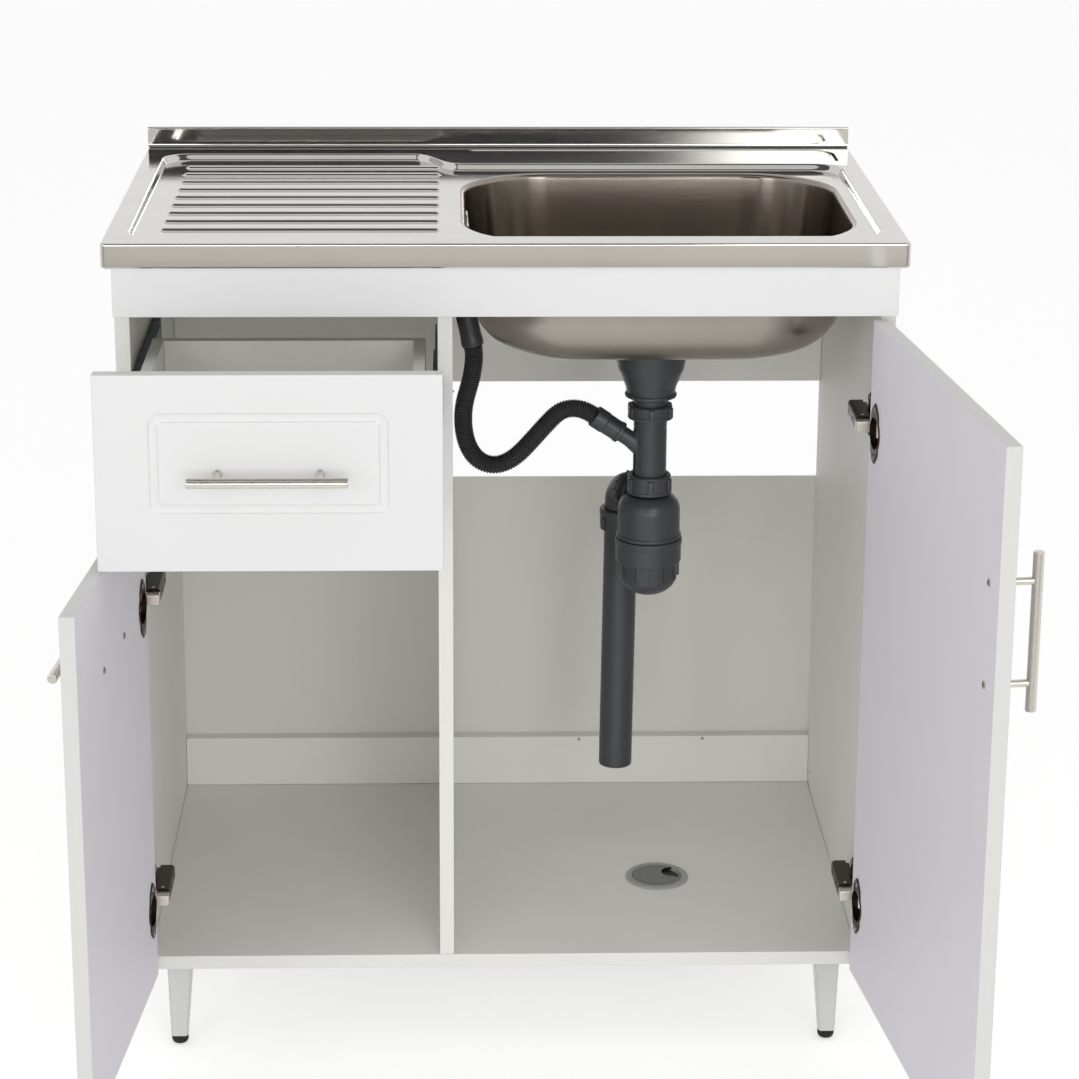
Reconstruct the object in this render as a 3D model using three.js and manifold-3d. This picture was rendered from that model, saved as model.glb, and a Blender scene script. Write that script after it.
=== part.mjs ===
// A kitchen sink unit with two doors and a drawer, standing open, in millimetres with +Z up.
// While it is built, X runs right from the carcass centre, Y runs back from the carcass front and
// Z runs up from the floor. The last step moves the origin under the middle of the whole unit.
import * as THREE from "three";
import { mergeVertices } from "three/addons/utils/BufferGeometryUtils.js";
import Module from "manifold-3d";

const wasm = await Module();
wasm.setup();

// ---------------------------------------------------------------- driving dimensions
const CLEARANCE = 0.3; // left between pieces that touch

// Carcass
const CARCASS_WIDTH = 780;
const BOARD = 15;
const PANEL_DEPTH = 476;
const LEG_HEIGHT = 109;
const DIVIDER_FROM_LEFT = 328.6; // middle of the divider, from the carcass's left face
const FASCIA_DROP = 75; // from the deck to the fascia's lower edge
const LOWER_RAIL_HEIGHT = 60;
const UPPER_RAIL_DROP = 272; // from the deck to the upper rail's lower edge
const BACK_PANEL_THICKNESS = 3;
const BACK_PANEL_INSET = 2;
const BACK_PANEL_HEIGHT = 397; // leaves the space for the wall pipes open above it
const NOTCH_WIDTH = 48; // the divider's notch for the overflow pipe
const NOTCH_DROP = 138; // from the deck to the bottom of that notch

// Legs
const LEG_TOP = 29;
const LEG_FOOT = 18;
const LEG_SPREAD = 3; // how far the foot stands outward of the leg's top
const LEG_CHAMFER = 2.5;
const LEG_INSET_X = 42;
const LEG_INSET_Y = 50;
const PAD_DIAMETER = 18;
const PAD_HEIGHT = 10;

// Sink top
const DECK_HEIGHT = 900;
const SINK_OVERHANG_SIDE = 10; // beyond the carcass at each side
const SINK_OVERHANG_BACK = 7;
const SHEET = 1;
const APRON_HEIGHT = 25;
const APRON_GAP = 1; // between the apron and the fascia
const SINK_CORNER = 5;
const EDGE_ROLL = 2; // rounding of the deck's outer edge
const UPSTAND_HEIGHT = 24;
const UPSTAND_THICKNESS = 2;
const HEM_HEIGHT = 3;
const HEM_DEPTH = 3.5;
const RECESS_DEPTH = 7;
const RECESS_SLOPE = 8;
const RIM_SIDE = 21;
const RIM_FRONT = 32;
const RIM_BACK = 39; // behind the drainer
const LEDGE_DEPTH = 97; // the flat behind the bowl, where the tap goes
const LEDGE_TURN_RUN = 58; // length of the curve from the drainer's back to the ledge
const LEDGE_TURN_END = 3.4; // where it ends, right of the bowl's left edge
const RECESS_CORNER = 28;

// Bowl
const BOWL_FROM_RIGHT = 241.4; // middle of the bowl, from the sink's right edge
const BOWL_FROM_FRONT = 212;
const BOWL_WIDTH = 408;
const BOWL_LENGTH = 345;
const BOWL_DEPTH = 139;
const BOWL_CORNER = 95;
const BOWL_ENTRY = 5; // radius where the deck turns down
const BOWL_HEEL = 55; // radius where the wall turns into the floor
const BOWL_DRAFT = 0.1; // how much the wall leans in for each unit of depth
const BOWL_CORNER_CLOSING = 0.45; // how fast the corner radius shrinks as the wall moves in
const BOWL_FALL = 6; // from the edge of the floor to the waste

// Drainer ribs
const RIB_COUNT = 10;
const RIB_PITCH = 40;
const RIB_FROM_FRONT = 53; // the first rib, from the sink's front edge
const RIB_FROM_LEFT = 50;
const RIB_TO_BOWL = 20.6; // from the ribs' right ends to the bowl
const RIB_WIDTH = 9;
const RIB_HEIGHT = 2.8;

// Waste, bottle trap and outlet
const WASTE_HOLE = 86;
const WASTE_FLANGE = 112;
const WASTE_FLANGE_THICKNESS = 1.5;
const WASTE_CUP_TOP = 80;
const WASTE_CUP_BOTTOM = 56;
const WASTE_CUP_DEPTH = 64;
const WASTE_NECK = 36;
const WASTE_WALL = 2;
const WASTE_COLLAR = 5; // height of the collar at the cup's foot
const WASTE_NUT_GAP = 8; // from the cup's foot to its nut
const WASTE_NUT_DIAMETER = 49;
const WASTE_NUT_HEIGHT = 15;
const TAILPIPE_LENGTH = 84; // from the waste nut's top to the trap nut's foot
const TRAP_NUT_DIAMETER = 48.5;
const TRAP_NUT_HEIGHT = 21;
const NUT_LUG = 3;
const TRAP_DIAMETER = 67.5;
const TRAP_HEIGHT = 48;
const TRAP_WALL = 2.5;
const TRAP_SHOULDER = 9;
const TRAP_NECK_WALL = 4; // from the tailpipe's outside to the outside of the trap's neck
const TRAP_NUT_GAP = 2; // from the trap's top to its nut
const CUP_RING_DIAMETER = 73;
const CUP_RING_HEIGHT = 28;
const CUP_DIAMETER = 64;
const CUP_HEIGHT = 66;
const CUP_DOME_HEIGHT = 20;
const CUP_RIB_COUNT = 12;
const CUP_RIB = 2;
const CUP_RIB_HEIGHT = 17;
const OUTLET_DIAMETER = 37;
const OUTLET_WALL = 2;
const OUTLET_REACH = 65; // from the trap's axis to the outlet pipe's axis
const OUTLET_SOCKET = 2; // how far the trap's socket stands out
const OUTLET_SOCKET_DIAMETER = 34;
const OUTLET_TURN = 114; // plan angle of the outlet, in degrees from +X
const OUTLET_DROP = 8; // from the trap's top to the outlet's middle
const ELBOW_TAIL = 26;
const OUTLET_NUT_DIAMETER = 48;
const OUTLET_NUT_HEIGHT = 24;
const OUTLET_PIPE_LENGTH = 304;
const OUTLET_LEAN = 0.6; // degrees
const BASKET_WALL = 1.2;
const BASKET_DEPTH = 26;
const BASKET_TAPER = 12;
const BASKET_HOLE = 5;
const BASKET_HOLES = 8;
const BASKET_KNOB = 16;

// Overflow
const OVERFLOW_DROP = 21; // from the recess floor to the middle of the overflow hole
const OVERFLOW_HOLE = 20;
const ROSETTE_DIAMETER = 30;
const ROSETTE_THICKNESS = 2;
const OVERFLOW_DISC = 29;
const OVERFLOW_DISC_THICKNESS = 7;
const OVERFLOW_SPIGOT_OFFSET = 15; // from the bowl wall to the spigot's axis
const OVERFLOW_SPIGOT_LENGTH = 24;
const CUFF_DIAMETER = 24;
const CUFF_WALL = 2.5;
const HOSE_DIAMETER = 20;
const HOSE_BORE = 14;
const HOSE_RIB_DEPTH = 1.3;
const HOSE_RIB_PITCH = 2.6;
const UPPER_CUFF_REACH = [20, -105]; // from the spigot's end to the hose's top end, across and up
const UPPER_CUFF_TILT = 11; // degrees off plumb where the hose starts
const BRANCH_SLOPE = 34; // degrees above level
const BRANCH_DIAMETER = 18;
const BRANCH_WALL = 2;
const BRANCH_LENGTH = 60; // along its slope from the tailpipe's axis
const BRANCH_DROP = 54; // from the waste nut's top to where the branch meets the axis
const LOWER_CUFF_START = 38;
const LOWER_CUFF_END = 73;
// Middle of the hose between its two straight ends, across and up from the waste, chosen by eye.
const HOSE_ROUTE = [
  [-193.1, -46],
  [-199.6, -68],
  [-201.6, -91],
  [-197.2, -117],
  [-185.6, -135],
  [-166.9, -141.2],
  [-146.2, -132.2],
  [-128.7, -114],
  [-111.2, -94],
  [-94.6, -78],
];

// Doors and drawer front
const FRONT_THICKNESS = 15;
const FRONT_STANDOFF = 2; // between the carcass and a closed front
const FRONT_GAP = 3; // between two fronts
const FRONT_REVEAL = 1.5; // from the carcass's outer face to a front's edge
const FASCIA_GAP = 4; // below the fascia
const DRAWER_FRONT_HEIGHT = 192;
const RIGHT_DOOR_OPEN = 96.9; // degrees, as it stands
const LEFT_DOOR_OPEN = 95.4;
const PIVOT_IN = 8.5; // hinge line, in from the carcass's outer face
const PIVOT_FORWARD = 17; // hinge line, in front of the carcass
const DRAWER_PULLED = 201; // as it stands
const GROOVE_WIDTH = 10;
const GROOVE_DEPTH = 1.5;
const GROOVE_FRAME = [225, 99]; // outer width and height of the pressed frame
const GROOVE_CORNER = 12;
const GROOVE_RISE = 10; // middle of the frame above the middle of the drawer front

// Handles
const HANDLE_LENGTH = 150;
const HANDLE_DIAMETER = 10;
const HANDLE_CENTRES = 96;
const HANDLE_STANDOFF = 29; // from the front's face to the bar's axis
const HANDLE_POST = 7;
const RIGHT_HANDLE_INSET = 30; // from the right door's free edge
const RIGHT_HANDLE_DROP = 181; // from the right door's top to the handle's middle
const LEFT_HANDLE_DROP = 94.5; // from the left door's top

// Hinges
const CUP_HOLE = 35;
const CUP_HOLE_DEPTH = 11.5;
const HINGE_CUP_WALL = 1;
const CUP_EDGE = 22.5; // cup's middle from the door's hinge edge
const CUP_FLANGE_WIDTH = 26;
const CUP_FLANGE_HEIGHT = 66;
const CUP_FLANGE_THICKNESS = 1.2;
const CUP_FLANGE_POINT = 12;
const HINGE_FROM_BOTTOM = 84;
const RIGHT_HINGE_FROM_TOP = 112;
const LEFT_HINGE_FROM_TOP = 99;
const PLATE_SETBACK = 37;
const PLATE_WING = 24;
const PLATE_WIDTH = 18;
const PLATE_THICKNESS = 3;
const PLATE_POINT = 8;
const ARM_WIDTH = 17;
const ARM_RISE = 22; // from the side panel to the arm's face
const ARM_FRONT = 2;
const ARM_BACK = 62;
const LINK_WIDTH = 12;
const LINK_REACH = 9; // forward of the carcass front
const LINK_RISE = [11, 21]; // from the side panel

// Drawer
const DRAWER_SIDE = 12;
const DRAWER_LENGTH = 300;
const DRAWER_HEIGHT = 120;
const DRAWER_DROP = 46; // from the drawer front's top to the sides' top
const DRAWER_BOTTOM = 4;
const DRAWER_BOTTOM_RAISE = 12;
const SLIDE_WIDTH = 12.7;
const SLIDE_HEIGHT = 45;
const SLIDE_STEEL = 1.2;
const SLIDE_PLAY = 0.4;
const SLIDE_DROP = 33; // from the sides' top to the slide's middle
const SLIDE_SETBACK = 2;

// Cable grommet
const GROMMET_FROM_RIGHT = 216; // from the carcass's right face
const GROMMET_FROM_FRONT = 191;
const GROMMET_DIAMETER = 70;
const GROMMET_HOLE = 60;
const GROMMET_WALL = 2;
const GROMMET_RIM = 2.5;
const GROMMET_CAP_THICKNESS = 3;
const GROMMET_SLOT = 17;
const GROMMET_SLOT_TURN = 12; // degrees, where the cable slot faces

// Corner blocks under the deck
const BLOCK_DEPTH = 42;
const BLOCK_FRONT = -9;
const BLOCK_DROP = 27; // from the deck to the foot of the block's tongue

// ---------------------------------------------------------------- derived places
const OUTER_X = CARCASS_WIDTH / 2;
const INNER_X = OUTER_X - BOARD;
const FLOOR_Z = LEG_HEIGHT + BOARD;
const DIVIDER_X = DIVIDER_FROM_LEFT - OUTER_X;
const DIVIDER_LEFT = DIVIDER_X - BOARD / 2;
const DIVIDER_RIGHT = DIVIDER_X + BOARD / 2;
const REAR_RAIL_Y = PANEL_DEPTH - BOARD;
const RECESS_Z = DECK_HEIGHT - RECESS_DEPTH;
const PANEL_TOP = RECESS_Z - SHEET - CLEARANCE;
const RIM_UNDERSIDE = DECK_HEIGHT - SHEET - CLEARANCE;
const FASCIA_BOTTOM = DECK_HEIGHT - FASCIA_DROP;
const SINK_FRONT = -(BOARD + APRON_GAP + SHEET);
const SINK_BACK = PANEL_DEPTH + SINK_OVERHANG_BACK;
const SINK_DEPTH = SINK_BACK - SINK_FRONT;
const SINK_WIDTH = CARCASS_WIDTH + 2 * SINK_OVERHANG_SIDE;
const BOWL_X = SINK_WIDTH / 2 - BOWL_FROM_RIGHT;
const BOWL_Y = SINK_FRONT + BOWL_FROM_FRONT;
const BOWL_LEFT = BOWL_X - BOWL_WIDTH / 2;
const LEDGE_TURN_RIGHT = BOWL_LEFT + LEDGE_TURN_END;
const LEDGE_TURN_LEFT = LEDGE_TURN_RIGHT - LEDGE_TURN_RUN;
const RIB_LEFT = RIB_FROM_LEFT - SINK_WIDTH / 2;
const RIB_RIGHT = BOWL_LEFT - RIB_TO_BOWL;
const RIB_FIRST_Y = SINK_FRONT + RIB_FROM_FRONT;
const GROMMET_X = OUTER_X - GROMMET_FROM_RIGHT;
const GROMMET_Y = GROMMET_FROM_FRONT;
const FRONT_TOP = FASCIA_BOTTOM - FASCIA_GAP;
const DRAWER_FRONT_BOTTOM = FRONT_TOP - DRAWER_FRONT_HEIGHT;
const LEFT_DOOR_TOP = DRAWER_FRONT_BOTTOM - FRONT_GAP;
const LEFT_COLUMN_WIDTH = DIVIDER_X - FRONT_GAP / 2 + OUTER_X - FRONT_REVEAL;
const RIGHT_COLUMN_WIDTH = OUTER_X - FRONT_REVEAL - DIVIDER_X - FRONT_GAP / 2;
const HINGE_EDGE = PIVOT_IN - FRONT_REVEAL; // door's hinge edge from the hinge line
const FRONT_INNER_FACE = PIVOT_FORWARD - FRONT_STANDOFF; // door's inner face from the hinge line
const BOWL_LOWEST = RECESS_Z - BOWL_DEPTH - BOWL_FALL;
const WASTE_FOOT = BOWL_LOWEST - WASTE_CUP_DEPTH;
const WASTE_NUT_TOP = WASTE_FOOT - WASTE_NUT_GAP;
const TRAP_NUT_FOOT = WASTE_NUT_TOP - WASTE_NUT_HEIGHT - TAILPIPE_LENGTH;
const TRAP_TOP = TRAP_NUT_FOOT - TRAP_NUT_GAP;
const TRAP_FOOT = TRAP_TOP - TRAP_HEIGHT;
const OUTLET_Z = TRAP_TOP - OUTLET_DROP;
const SLIDE_Z = FRONT_TOP - DRAWER_DROP - SLIDE_DROP;

// ---------------------------------------------------------------- finishes
const FINISHES = {
  melamine: { color: 0xd9d9d4, roughness: 0.55, metalness: 0 },
  front: { color: 0xeeeeee, roughness: 0.3, metalness: 0 },
  stainless: { color: 0xd0d0ce, roughness: 0.22, metalness: 1 },
  chrome: { color: 0xdddddd, roughness: 0.08, metalness: 1 },
  nickel: { color: 0xb9b6ae, roughness: 0.35, metalness: 1 },
  hinge: { color: 0x77736c, roughness: 0.4, metalness: 1 },
  zinc: { color: 0x5b6d70, roughness: 0.45, metalness: 1 },
  hardboard: { color: 0xcfcfca, roughness: 0.7, metalness: 0 },
  plastic: { color: 0x3f4042, roughness: 0.5, metalness: 0 },
  grey: { color: 0x8d8f8f, roughness: 0.5, metalness: 0 },
  rubber: { color: 0x151515, roughness: 0.8, metalness: 0 },
};

function piece(name, geometry, finish) {
  const mesh = new THREE.Mesh(geometry, new THREE.MeshStandardMaterial(FINISHES[finish]));
  mesh.name = name;
  return mesh;
}

// ---------------------------------------------------------------- shape helpers
const radians = THREE.MathUtils.degToRad;

// Merges equal corners and drops faces that shrink to a line, such as those on a lathe's axis.
function sealed(geometry) {
  const bare = geometry.clone();
  bare.deleteAttribute("normal");
  bare.deleteAttribute("uv");
  const merged = mergeVertices(bare, 1e-4);
  const corners = merged.index.array;
  const kept = [];
  for (let i = 0; i < corners.length; i += 3) {
    const [a, b, c] = [corners[i], corners[i + 1], corners[i + 2]];
    if (a !== b && b !== c && c !== a) kept.push(a, b, c);
  }
  merged.setIndex(kept);
  return merged;
}

function solidOf(geometry) {
  const closed = sealed(geometry);
  return new wasm.Manifold(
    new wasm.Mesh({
      numProp: 3,
      vertProperties: closed.attributes.position.array,
      triVerts: new Uint32Array(closed.index.array),
    }),
  );
}

function geometryOf(solid) {
  const mesh = solid.getMesh();
  const geometry = new THREE.BufferGeometry();
  geometry.setAttribute("position", new THREE.BufferAttribute(mesh.vertProperties, 3));
  geometry.setIndex(new THREE.BufferAttribute(mesh.triVerts, 1));
  geometry.computeVertexNormals();
  return geometry;
}

function joined(...geometries) {
  return geometryOf(geometries.map(solidOf).reduce((whole, next) => whole.add(next)));
}

function cut(body, ...tools) {
  return geometryOf(tools.map(solidOf).reduce((left, tool) => left.subtract(tool), solidOf(body)));
}

function block([x0, x1], [y0, y1], [z0, z1]) {
  const geometry = new THREE.BoxGeometry(x1 - x0, y1 - y0, z1 - z0);
  return geometry.translate((x0 + x1) / 2, (y0 + y1) / 2, (z0 + z1) / 2);
}

// A cylinder about Z, from z0 up to z1.
function upright(diameter, z0, z1, sides = 24) {
  const geometry = new THREE.CylinderGeometry(diameter / 2, diameter / 2, z1 - z0, sides);
  return geometry.rotateX(Math.PI / 2).translate(0, 0, (z0 + z1) / 2);
}

// A cylinder from one point to another.
function rod(from, to, diameter, sides = 16) {
  const along = new THREE.Vector3().subVectors(to, from);
  const geometry = new THREE.CylinderGeometry(diameter / 2, diameter / 2, along.length(), sides);
  const turn = new THREE.Quaternion().setFromUnitVectors(
    new THREE.Vector3(0, 1, 0),
    along.clone().normalize(),
  );
  return geometry.applyQuaternion(turn).translate(...from.clone().addScaledVector(along, 0.5));
}

// A body turned about Z from points of radius and height, counter-clockwise, closed by itself.
function turned(profile, sides = 24) {
  const points = profile.map(([radius, height]) => new THREE.Vector2(radius, height));
  const touchesAxis = profile[0][0] === 0 && profile[profile.length - 1][0] === 0;
  if (!touchesAxis) points.push(points[0].clone());
  return sealed(new THREE.LatheGeometry(points, sides).rotateX(Math.PI / 2));
}

function ring(outer, inner, z0, z1, sides = 24) {
  return turned(
    [
      [inner / 2, z0],
      [outer / 2, z0],
      [outer / 2, z1],
      [inner / 2, z1],
    ],
    sides,
  );
}

// Stretches a flat outline up by a height, standing on Z = 0.
function raised(shape, height, curveSteps = 6) {
  return new THREE.ExtrudeGeometry(shape, {
    depth: height,
    bevelEnabled: false,
    curveSegments: curveSteps,
  });
}

// Stretches an outline in X and Z back along Y, starting at Y = 0.
function stretchedBack(shape, length) {
  return raised(shape, length).rotateX(Math.PI / 2).translate(0, length, 0);
}

function outline(points) {
  return new THREE.Shape(points.map(([x, y]) => new THREE.Vector2(x, y)));
}

// A rectangle with round corners about (x, y), with the same number of points for any size.
function roundedRectangle(x, y, width, depth, radius, steps) {
  const points = [];
  for (let corner = 0; corner < 4; corner += 1) {
    const across = corner === 0 || corner === 3 ? 1 : -1;
    const along = corner < 2 ? 1 : -1;
    const centreX = x + across * (width / 2 - radius);
    const centreY = y + along * (depth / 2 - radius);
    for (let step = 0; step <= steps; step += 1) {
      const angle = (corner + step / steps) * (Math.PI / 2);
      points.push(
        new THREE.Vector2(
          centreX + radius * Math.cos(angle),
          centreY + radius * Math.sin(angle),
        ),
      );
    }
  }
  return points;
}

// Joins outlines with equal counts of points, from the lowest to the highest, into a closed body.
function lofted(levels) {
  const count = levels[0].points.length;
  const corners = [];
  const faces = [];
  for (const { z, points } of levels) {
    for (const point of points) corners.push(point.x, point.y, z);
  }
  for (let level = 0; level + 1 < levels.length; level += 1) {
    for (let i = 0; i < count; i += 1) {
      const a = level * count + i;
      const b = level * count + ((i + 1) % count);
      faces.push(a, b, b + count, a, b + count, a + count);
    }
  }
  const top = (levels.length - 1) * count;
  for (const [a, b, c] of THREE.ShapeUtils.triangulateShape(levels[0].points, [])) {
    faces.push(a, c, b);
  }
  for (const [a, b, c] of THREE.ShapeUtils.triangulateShape(levels[levels.length - 1].points, [])) {
    faces.push(top + a, top + b, top + c);
  }
  const geometry = new THREE.BufferGeometry();
  geometry.setAttribute("position", new THREE.Float32BufferAttribute(corners, 3));
  geometry.setIndex(faces);
  return geometry;
}

// ---------------------------------------------------------------- carcass
function carcass() {
  const group = new THREE.Group();
  const depth = [0, PANEL_DEPTH];
  for (const [side, word] of [
    [-1, "left"],
    [1, "right"],
  ]) {
    const across = [side * OUTER_X, side * INNER_X].sort((a, b) => a - b);
    const panel = block(across, depth, [LEG_HEIGHT, PANEL_TOP]);
    group.add(piece(`side_panel_${word}`, panel, "melamine"));
  }
  group.add(piece("divider_panel", divider(), "melamine"));
  group.add(piece("bottom_panel", bottomPanel(), "melamine"));
  const between = [-INNER_X + CLEARANCE, INNER_X - CLEARANCE];
  const railDepth = [REAR_RAIL_Y, PANEL_DEPTH];
  const lowerFoot = FLOOR_Z + CLEARANCE;
  const lower = block(between, railDepth, [lowerFoot, lowerFoot + LOWER_RAIL_HEIGHT]);
  const upper = block(between, railDepth, [DECK_HEIGHT - UPPER_RAIL_DROP, RIM_UNDERSIDE]);
  group.add(piece("rear_rail_lower", lower, "melamine"));
  group.add(piece("rear_rail_upper", upper, "melamine"));
  const fascia = block(
    [-OUTER_X, OUTER_X],
    [-BOARD, -CLEARANCE],
    [FASCIA_BOTTOM, RIM_UNDERSIDE],
  );
  group.add(piece("fascia_rail", fascia, "front"));
  const backInset = OUTER_X - BACK_PANEL_INSET;
  const backStart = PANEL_DEPTH + CLEARANCE;
  const back = block(
    [-backInset, backInset],
    [backStart, backStart + BACK_PANEL_THICKNESS],
    [LEG_HEIGHT + 1, LEG_HEIGHT + 1 + BACK_PANEL_HEIGHT],
  );
  group.add(piece("back_panel", back, "hardboard"));
  return group;
}

function divider() {
  const board = block(
    [DIVIDER_LEFT, DIVIDER_RIGHT],
    [0, REAR_RAIL_Y - CLEARANCE],
    [FLOOR_Z + CLEARANCE, PANEL_TOP],
  );
  const notch = block(
    [DIVIDER_LEFT - BOARD, DIVIDER_RIGHT + BOARD],
    [BOWL_Y - NOTCH_WIDTH / 2, BOWL_Y + NOTCH_WIDTH / 2],
    [DECK_HEIGHT - NOTCH_DROP, DECK_HEIGHT],
  );
  return cut(board, notch);
}

function bottomPanel() {
  const board = block(
    [-INNER_X + CLEARANCE, INNER_X - CLEARANCE],
    [0, PANEL_DEPTH],
    [LEG_HEIGHT, FLOOR_Z],
  );
  const hole = upright(GROMMET_HOLE, LEG_HEIGHT - BOARD, FLOOR_Z + BOARD);
  return cut(board, hole.translate(GROMMET_X, GROMMET_Y, 0));
}

// ---------------------------------------------------------------- legs
// A square leg that tapers down, its inner sides more than its outer ones.
function leg(sideX, sideY) {
  const section = (size, spread, z) => ({
    z,
    points: roundedRectangle(sideX * spread, sideY * spread, size, size, LEG_CHAMFER, 1),
  });
  return lofted([
    section(LEG_FOOT, LEG_SPREAD, PAD_HEIGHT),
    section(LEG_TOP, 0, LEG_HEIGHT - CLEARANCE),
  ]);
}

function pad() {
  const radius = PAD_DIAMETER / 2;
  const dome = [
    [0, 0],
    [radius * 0.55, 0],
    [radius * 0.85, PAD_HEIGHT * 0.14],
    [radius, PAD_HEIGHT * 0.4],
    [radius, PAD_HEIGHT - CLEARANCE],
    [0, PAD_HEIGHT - CLEARANCE],
  ];
  return turned(dome, 12);
}

function legs() {
  const group = new THREE.Group();
  for (const [sideX, acrossWord] of [
    [-1, "left"],
    [1, "right"],
  ]) {
    for (const [sideY, depthWord] of [
      [-1, "front"],
      [1, "rear"],
    ]) {
      const corner = new THREE.Group();
      const depth = sideY < 0 ? LEG_INSET_Y : PANEL_DEPTH - LEG_INSET_Y;
      corner.position.set(sideX * (OUTER_X - LEG_INSET_X), depth, 0);
      corner.add(piece(`leg_${depthWord}_${acrossWord}`, leg(sideX, sideY), "front"));
      const foot = pad().translate(sideX * LEG_SPREAD, sideY * LEG_SPREAD, 0);
      corner.add(piece(`foot_${depthWord}_${acrossWord}`, foot, "rubber"));
      group.add(corner);
    }
  }
  return group;
}

// ---------------------------------------------------------------- sink top
// The edge of the drainer and bowl recess, moved inward by an inset.
function recessOutline(inset) {
  const left = -SINK_WIDTH / 2 + RIM_SIDE + inset;
  const right = SINK_WIDTH / 2 - RIM_SIDE - inset;
  const front = SINK_FRONT + RIM_FRONT + inset;
  const back = SINK_BACK - RIM_BACK - inset;
  const ledge = SINK_BACK - LEDGE_DEPTH - inset;
  const middle = (LEDGE_TURN_LEFT + LEDGE_TURN_RIGHT) / 2;
  const radius = RECESS_CORNER;
  const shape = new THREE.Shape();
  shape.moveTo(left + radius, front);
  shape.lineTo(right - radius, front);
  shape.absarc(right - radius, front + radius, radius, -Math.PI / 2, 0, false);
  shape.absarc(right - radius, ledge - radius, radius, 0, Math.PI / 2, false);
  shape.lineTo(LEDGE_TURN_RIGHT, ledge);
  shape.bezierCurveTo(middle, ledge, middle, back, LEDGE_TURN_LEFT, back);
  shape.lineTo(left + radius, back);
  shape.absarc(left + radius, back - radius, radius, Math.PI / 2, Math.PI, false);
  shape.absarc(left + radius, front + radius, radius, Math.PI, Math.PI * 1.5, false);
  const points = shape.getPoints(3);
  if (points[0].distanceTo(points[points.length - 1]) < 1e-6) points.pop();
  return points;
}

// The recess as a body: its floor at floorZ, its sides rising to topZ, all moved out by grow.
function recess(grow, floorZ, topZ) {
  const rise = topZ - floorZ;
  const steps = [
    [1, 0],
    [0.75, 0.2],
    [0.25, 0.8],
    [0, 1],
  ];
  const levels = steps.map(([inset, up]) => ({
    z: floorZ + rise * up,
    points: recessOutline(inset * RECESS_SLOPE - grow),
  }));
  return lofted(levels);
}

// How far in and how far down the bowl's wall is, from its rim to the edge of its floor.
function bowlProfile() {
  const profile = [];
  for (const turn of [0, 35, 65, 90]) {
    const angle = radians(turn);
    profile.push([BOWL_ENTRY * Math.sin(angle), BOWL_ENTRY * (1 - Math.cos(angle))]);
  }
  const heelTop = BOWL_DEPTH - BOWL_HEEL;
  for (const turn of [0, 18, 36, 54, 72, 90]) {
    const angle = radians(turn);
    const down = heelTop + BOWL_HEEL * Math.sin(angle);
    const lean = BOWL_DRAFT * (down - BOWL_ENTRY);
    profile.push([BOWL_ENTRY + lean + BOWL_HEEL * (1 - Math.cos(angle)), down]);
  }
  return profile;
}

function bowl(grow) {
  const steps = 5;
  const levels = bowlProfile().map(([inset, down]) => ({
    z: RECESS_Z - down - grow,
    points: roundedRectangle(
      BOWL_X,
      BOWL_Y,
      BOWL_WIDTH - 2 * (inset - grow),
      BOWL_LENGTH - 2 * (inset - grow),
      BOWL_CORNER - inset * BOWL_CORNER_CLOSING + grow,
      steps,
    ),
  }));
  if (grow === 0) levels.unshift({ z: RECESS_Z + RECESS_DEPTH, points: levels[0].points });
  levels.push({
    z: BOWL_LOWEST - grow,
    points: roundedRectangle(BOWL_X, BOWL_Y, WASTE_HOLE, WASTE_HOLE, WASTE_HOLE / 2, steps),
  });
  return lofted(levels.reverse());
}

function deckShell() {
  const middleY = (SINK_FRONT + SINK_BACK) / 2;
  const level = (z, inset) => ({
    z,
    points: roundedRectangle(
      0,
      middleY,
      SINK_WIDTH - 2 * inset,
      SINK_DEPTH - 2 * inset,
      SINK_CORNER - Math.min(inset, SINK_CORNER - 1),
      3,
    ),
  });
  const foot = DECK_HEIGHT - APRON_HEIGHT;
  const outer = lofted([
    level(foot, 0),
    level(DECK_HEIGHT - EDGE_ROLL, 0),
    level(DECK_HEIGHT - EDGE_ROLL * 0.3, EDGE_ROLL * 0.3),
    level(DECK_HEIGHT, EDGE_ROLL),
  ]);
  const ceiling = DECK_HEIGHT - SHEET;
  const inner = lofted([
    level(foot - BOARD, SHEET),
    level(ceiling - EDGE_ROLL * 0.5, SHEET),
    level(ceiling, SHEET + EDGE_ROLL * 0.5),
  ]);
  const openBack = block(
    [-SINK_WIDTH / 2 + SHEET, SINK_WIDTH / 2 - SHEET],
    [SINK_BACK - SINK_CORNER, SINK_BACK + SINK_CORNER],
    [foot - BOARD, ceiling],
  );
  return solidOf(outer).subtract(solidOf(inner)).subtract(solidOf(openBack));
}

// One raised rib of the drainer, round at both ends and flush below.
function rib(y) {
  const length = RIB_RIGHT - RIB_LEFT - RIB_WIDTH;
  const sheetMiddle = RECESS_Z - SHEET / 2;
  const full = new THREE.CapsuleGeometry(RIB_WIDTH / 2, length, 2, 8)
    .rotateZ(Math.PI / 2)
    .scale(1, 1, (RIB_HEIGHT + SHEET / 2) / (RIB_WIDTH / 2))
    .translate((RIB_LEFT + RIB_RIGHT) / 2, y, sheetMiddle);
  const above = block(
    [RIB_LEFT - RIB_WIDTH, RIB_RIGHT + RIB_WIDTH],
    [y - RIB_WIDTH, y + RIB_WIDTH],
    [sheetMiddle, DECK_HEIGHT],
  );
  return solidOf(full).intersect(solidOf(above));
}

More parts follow.
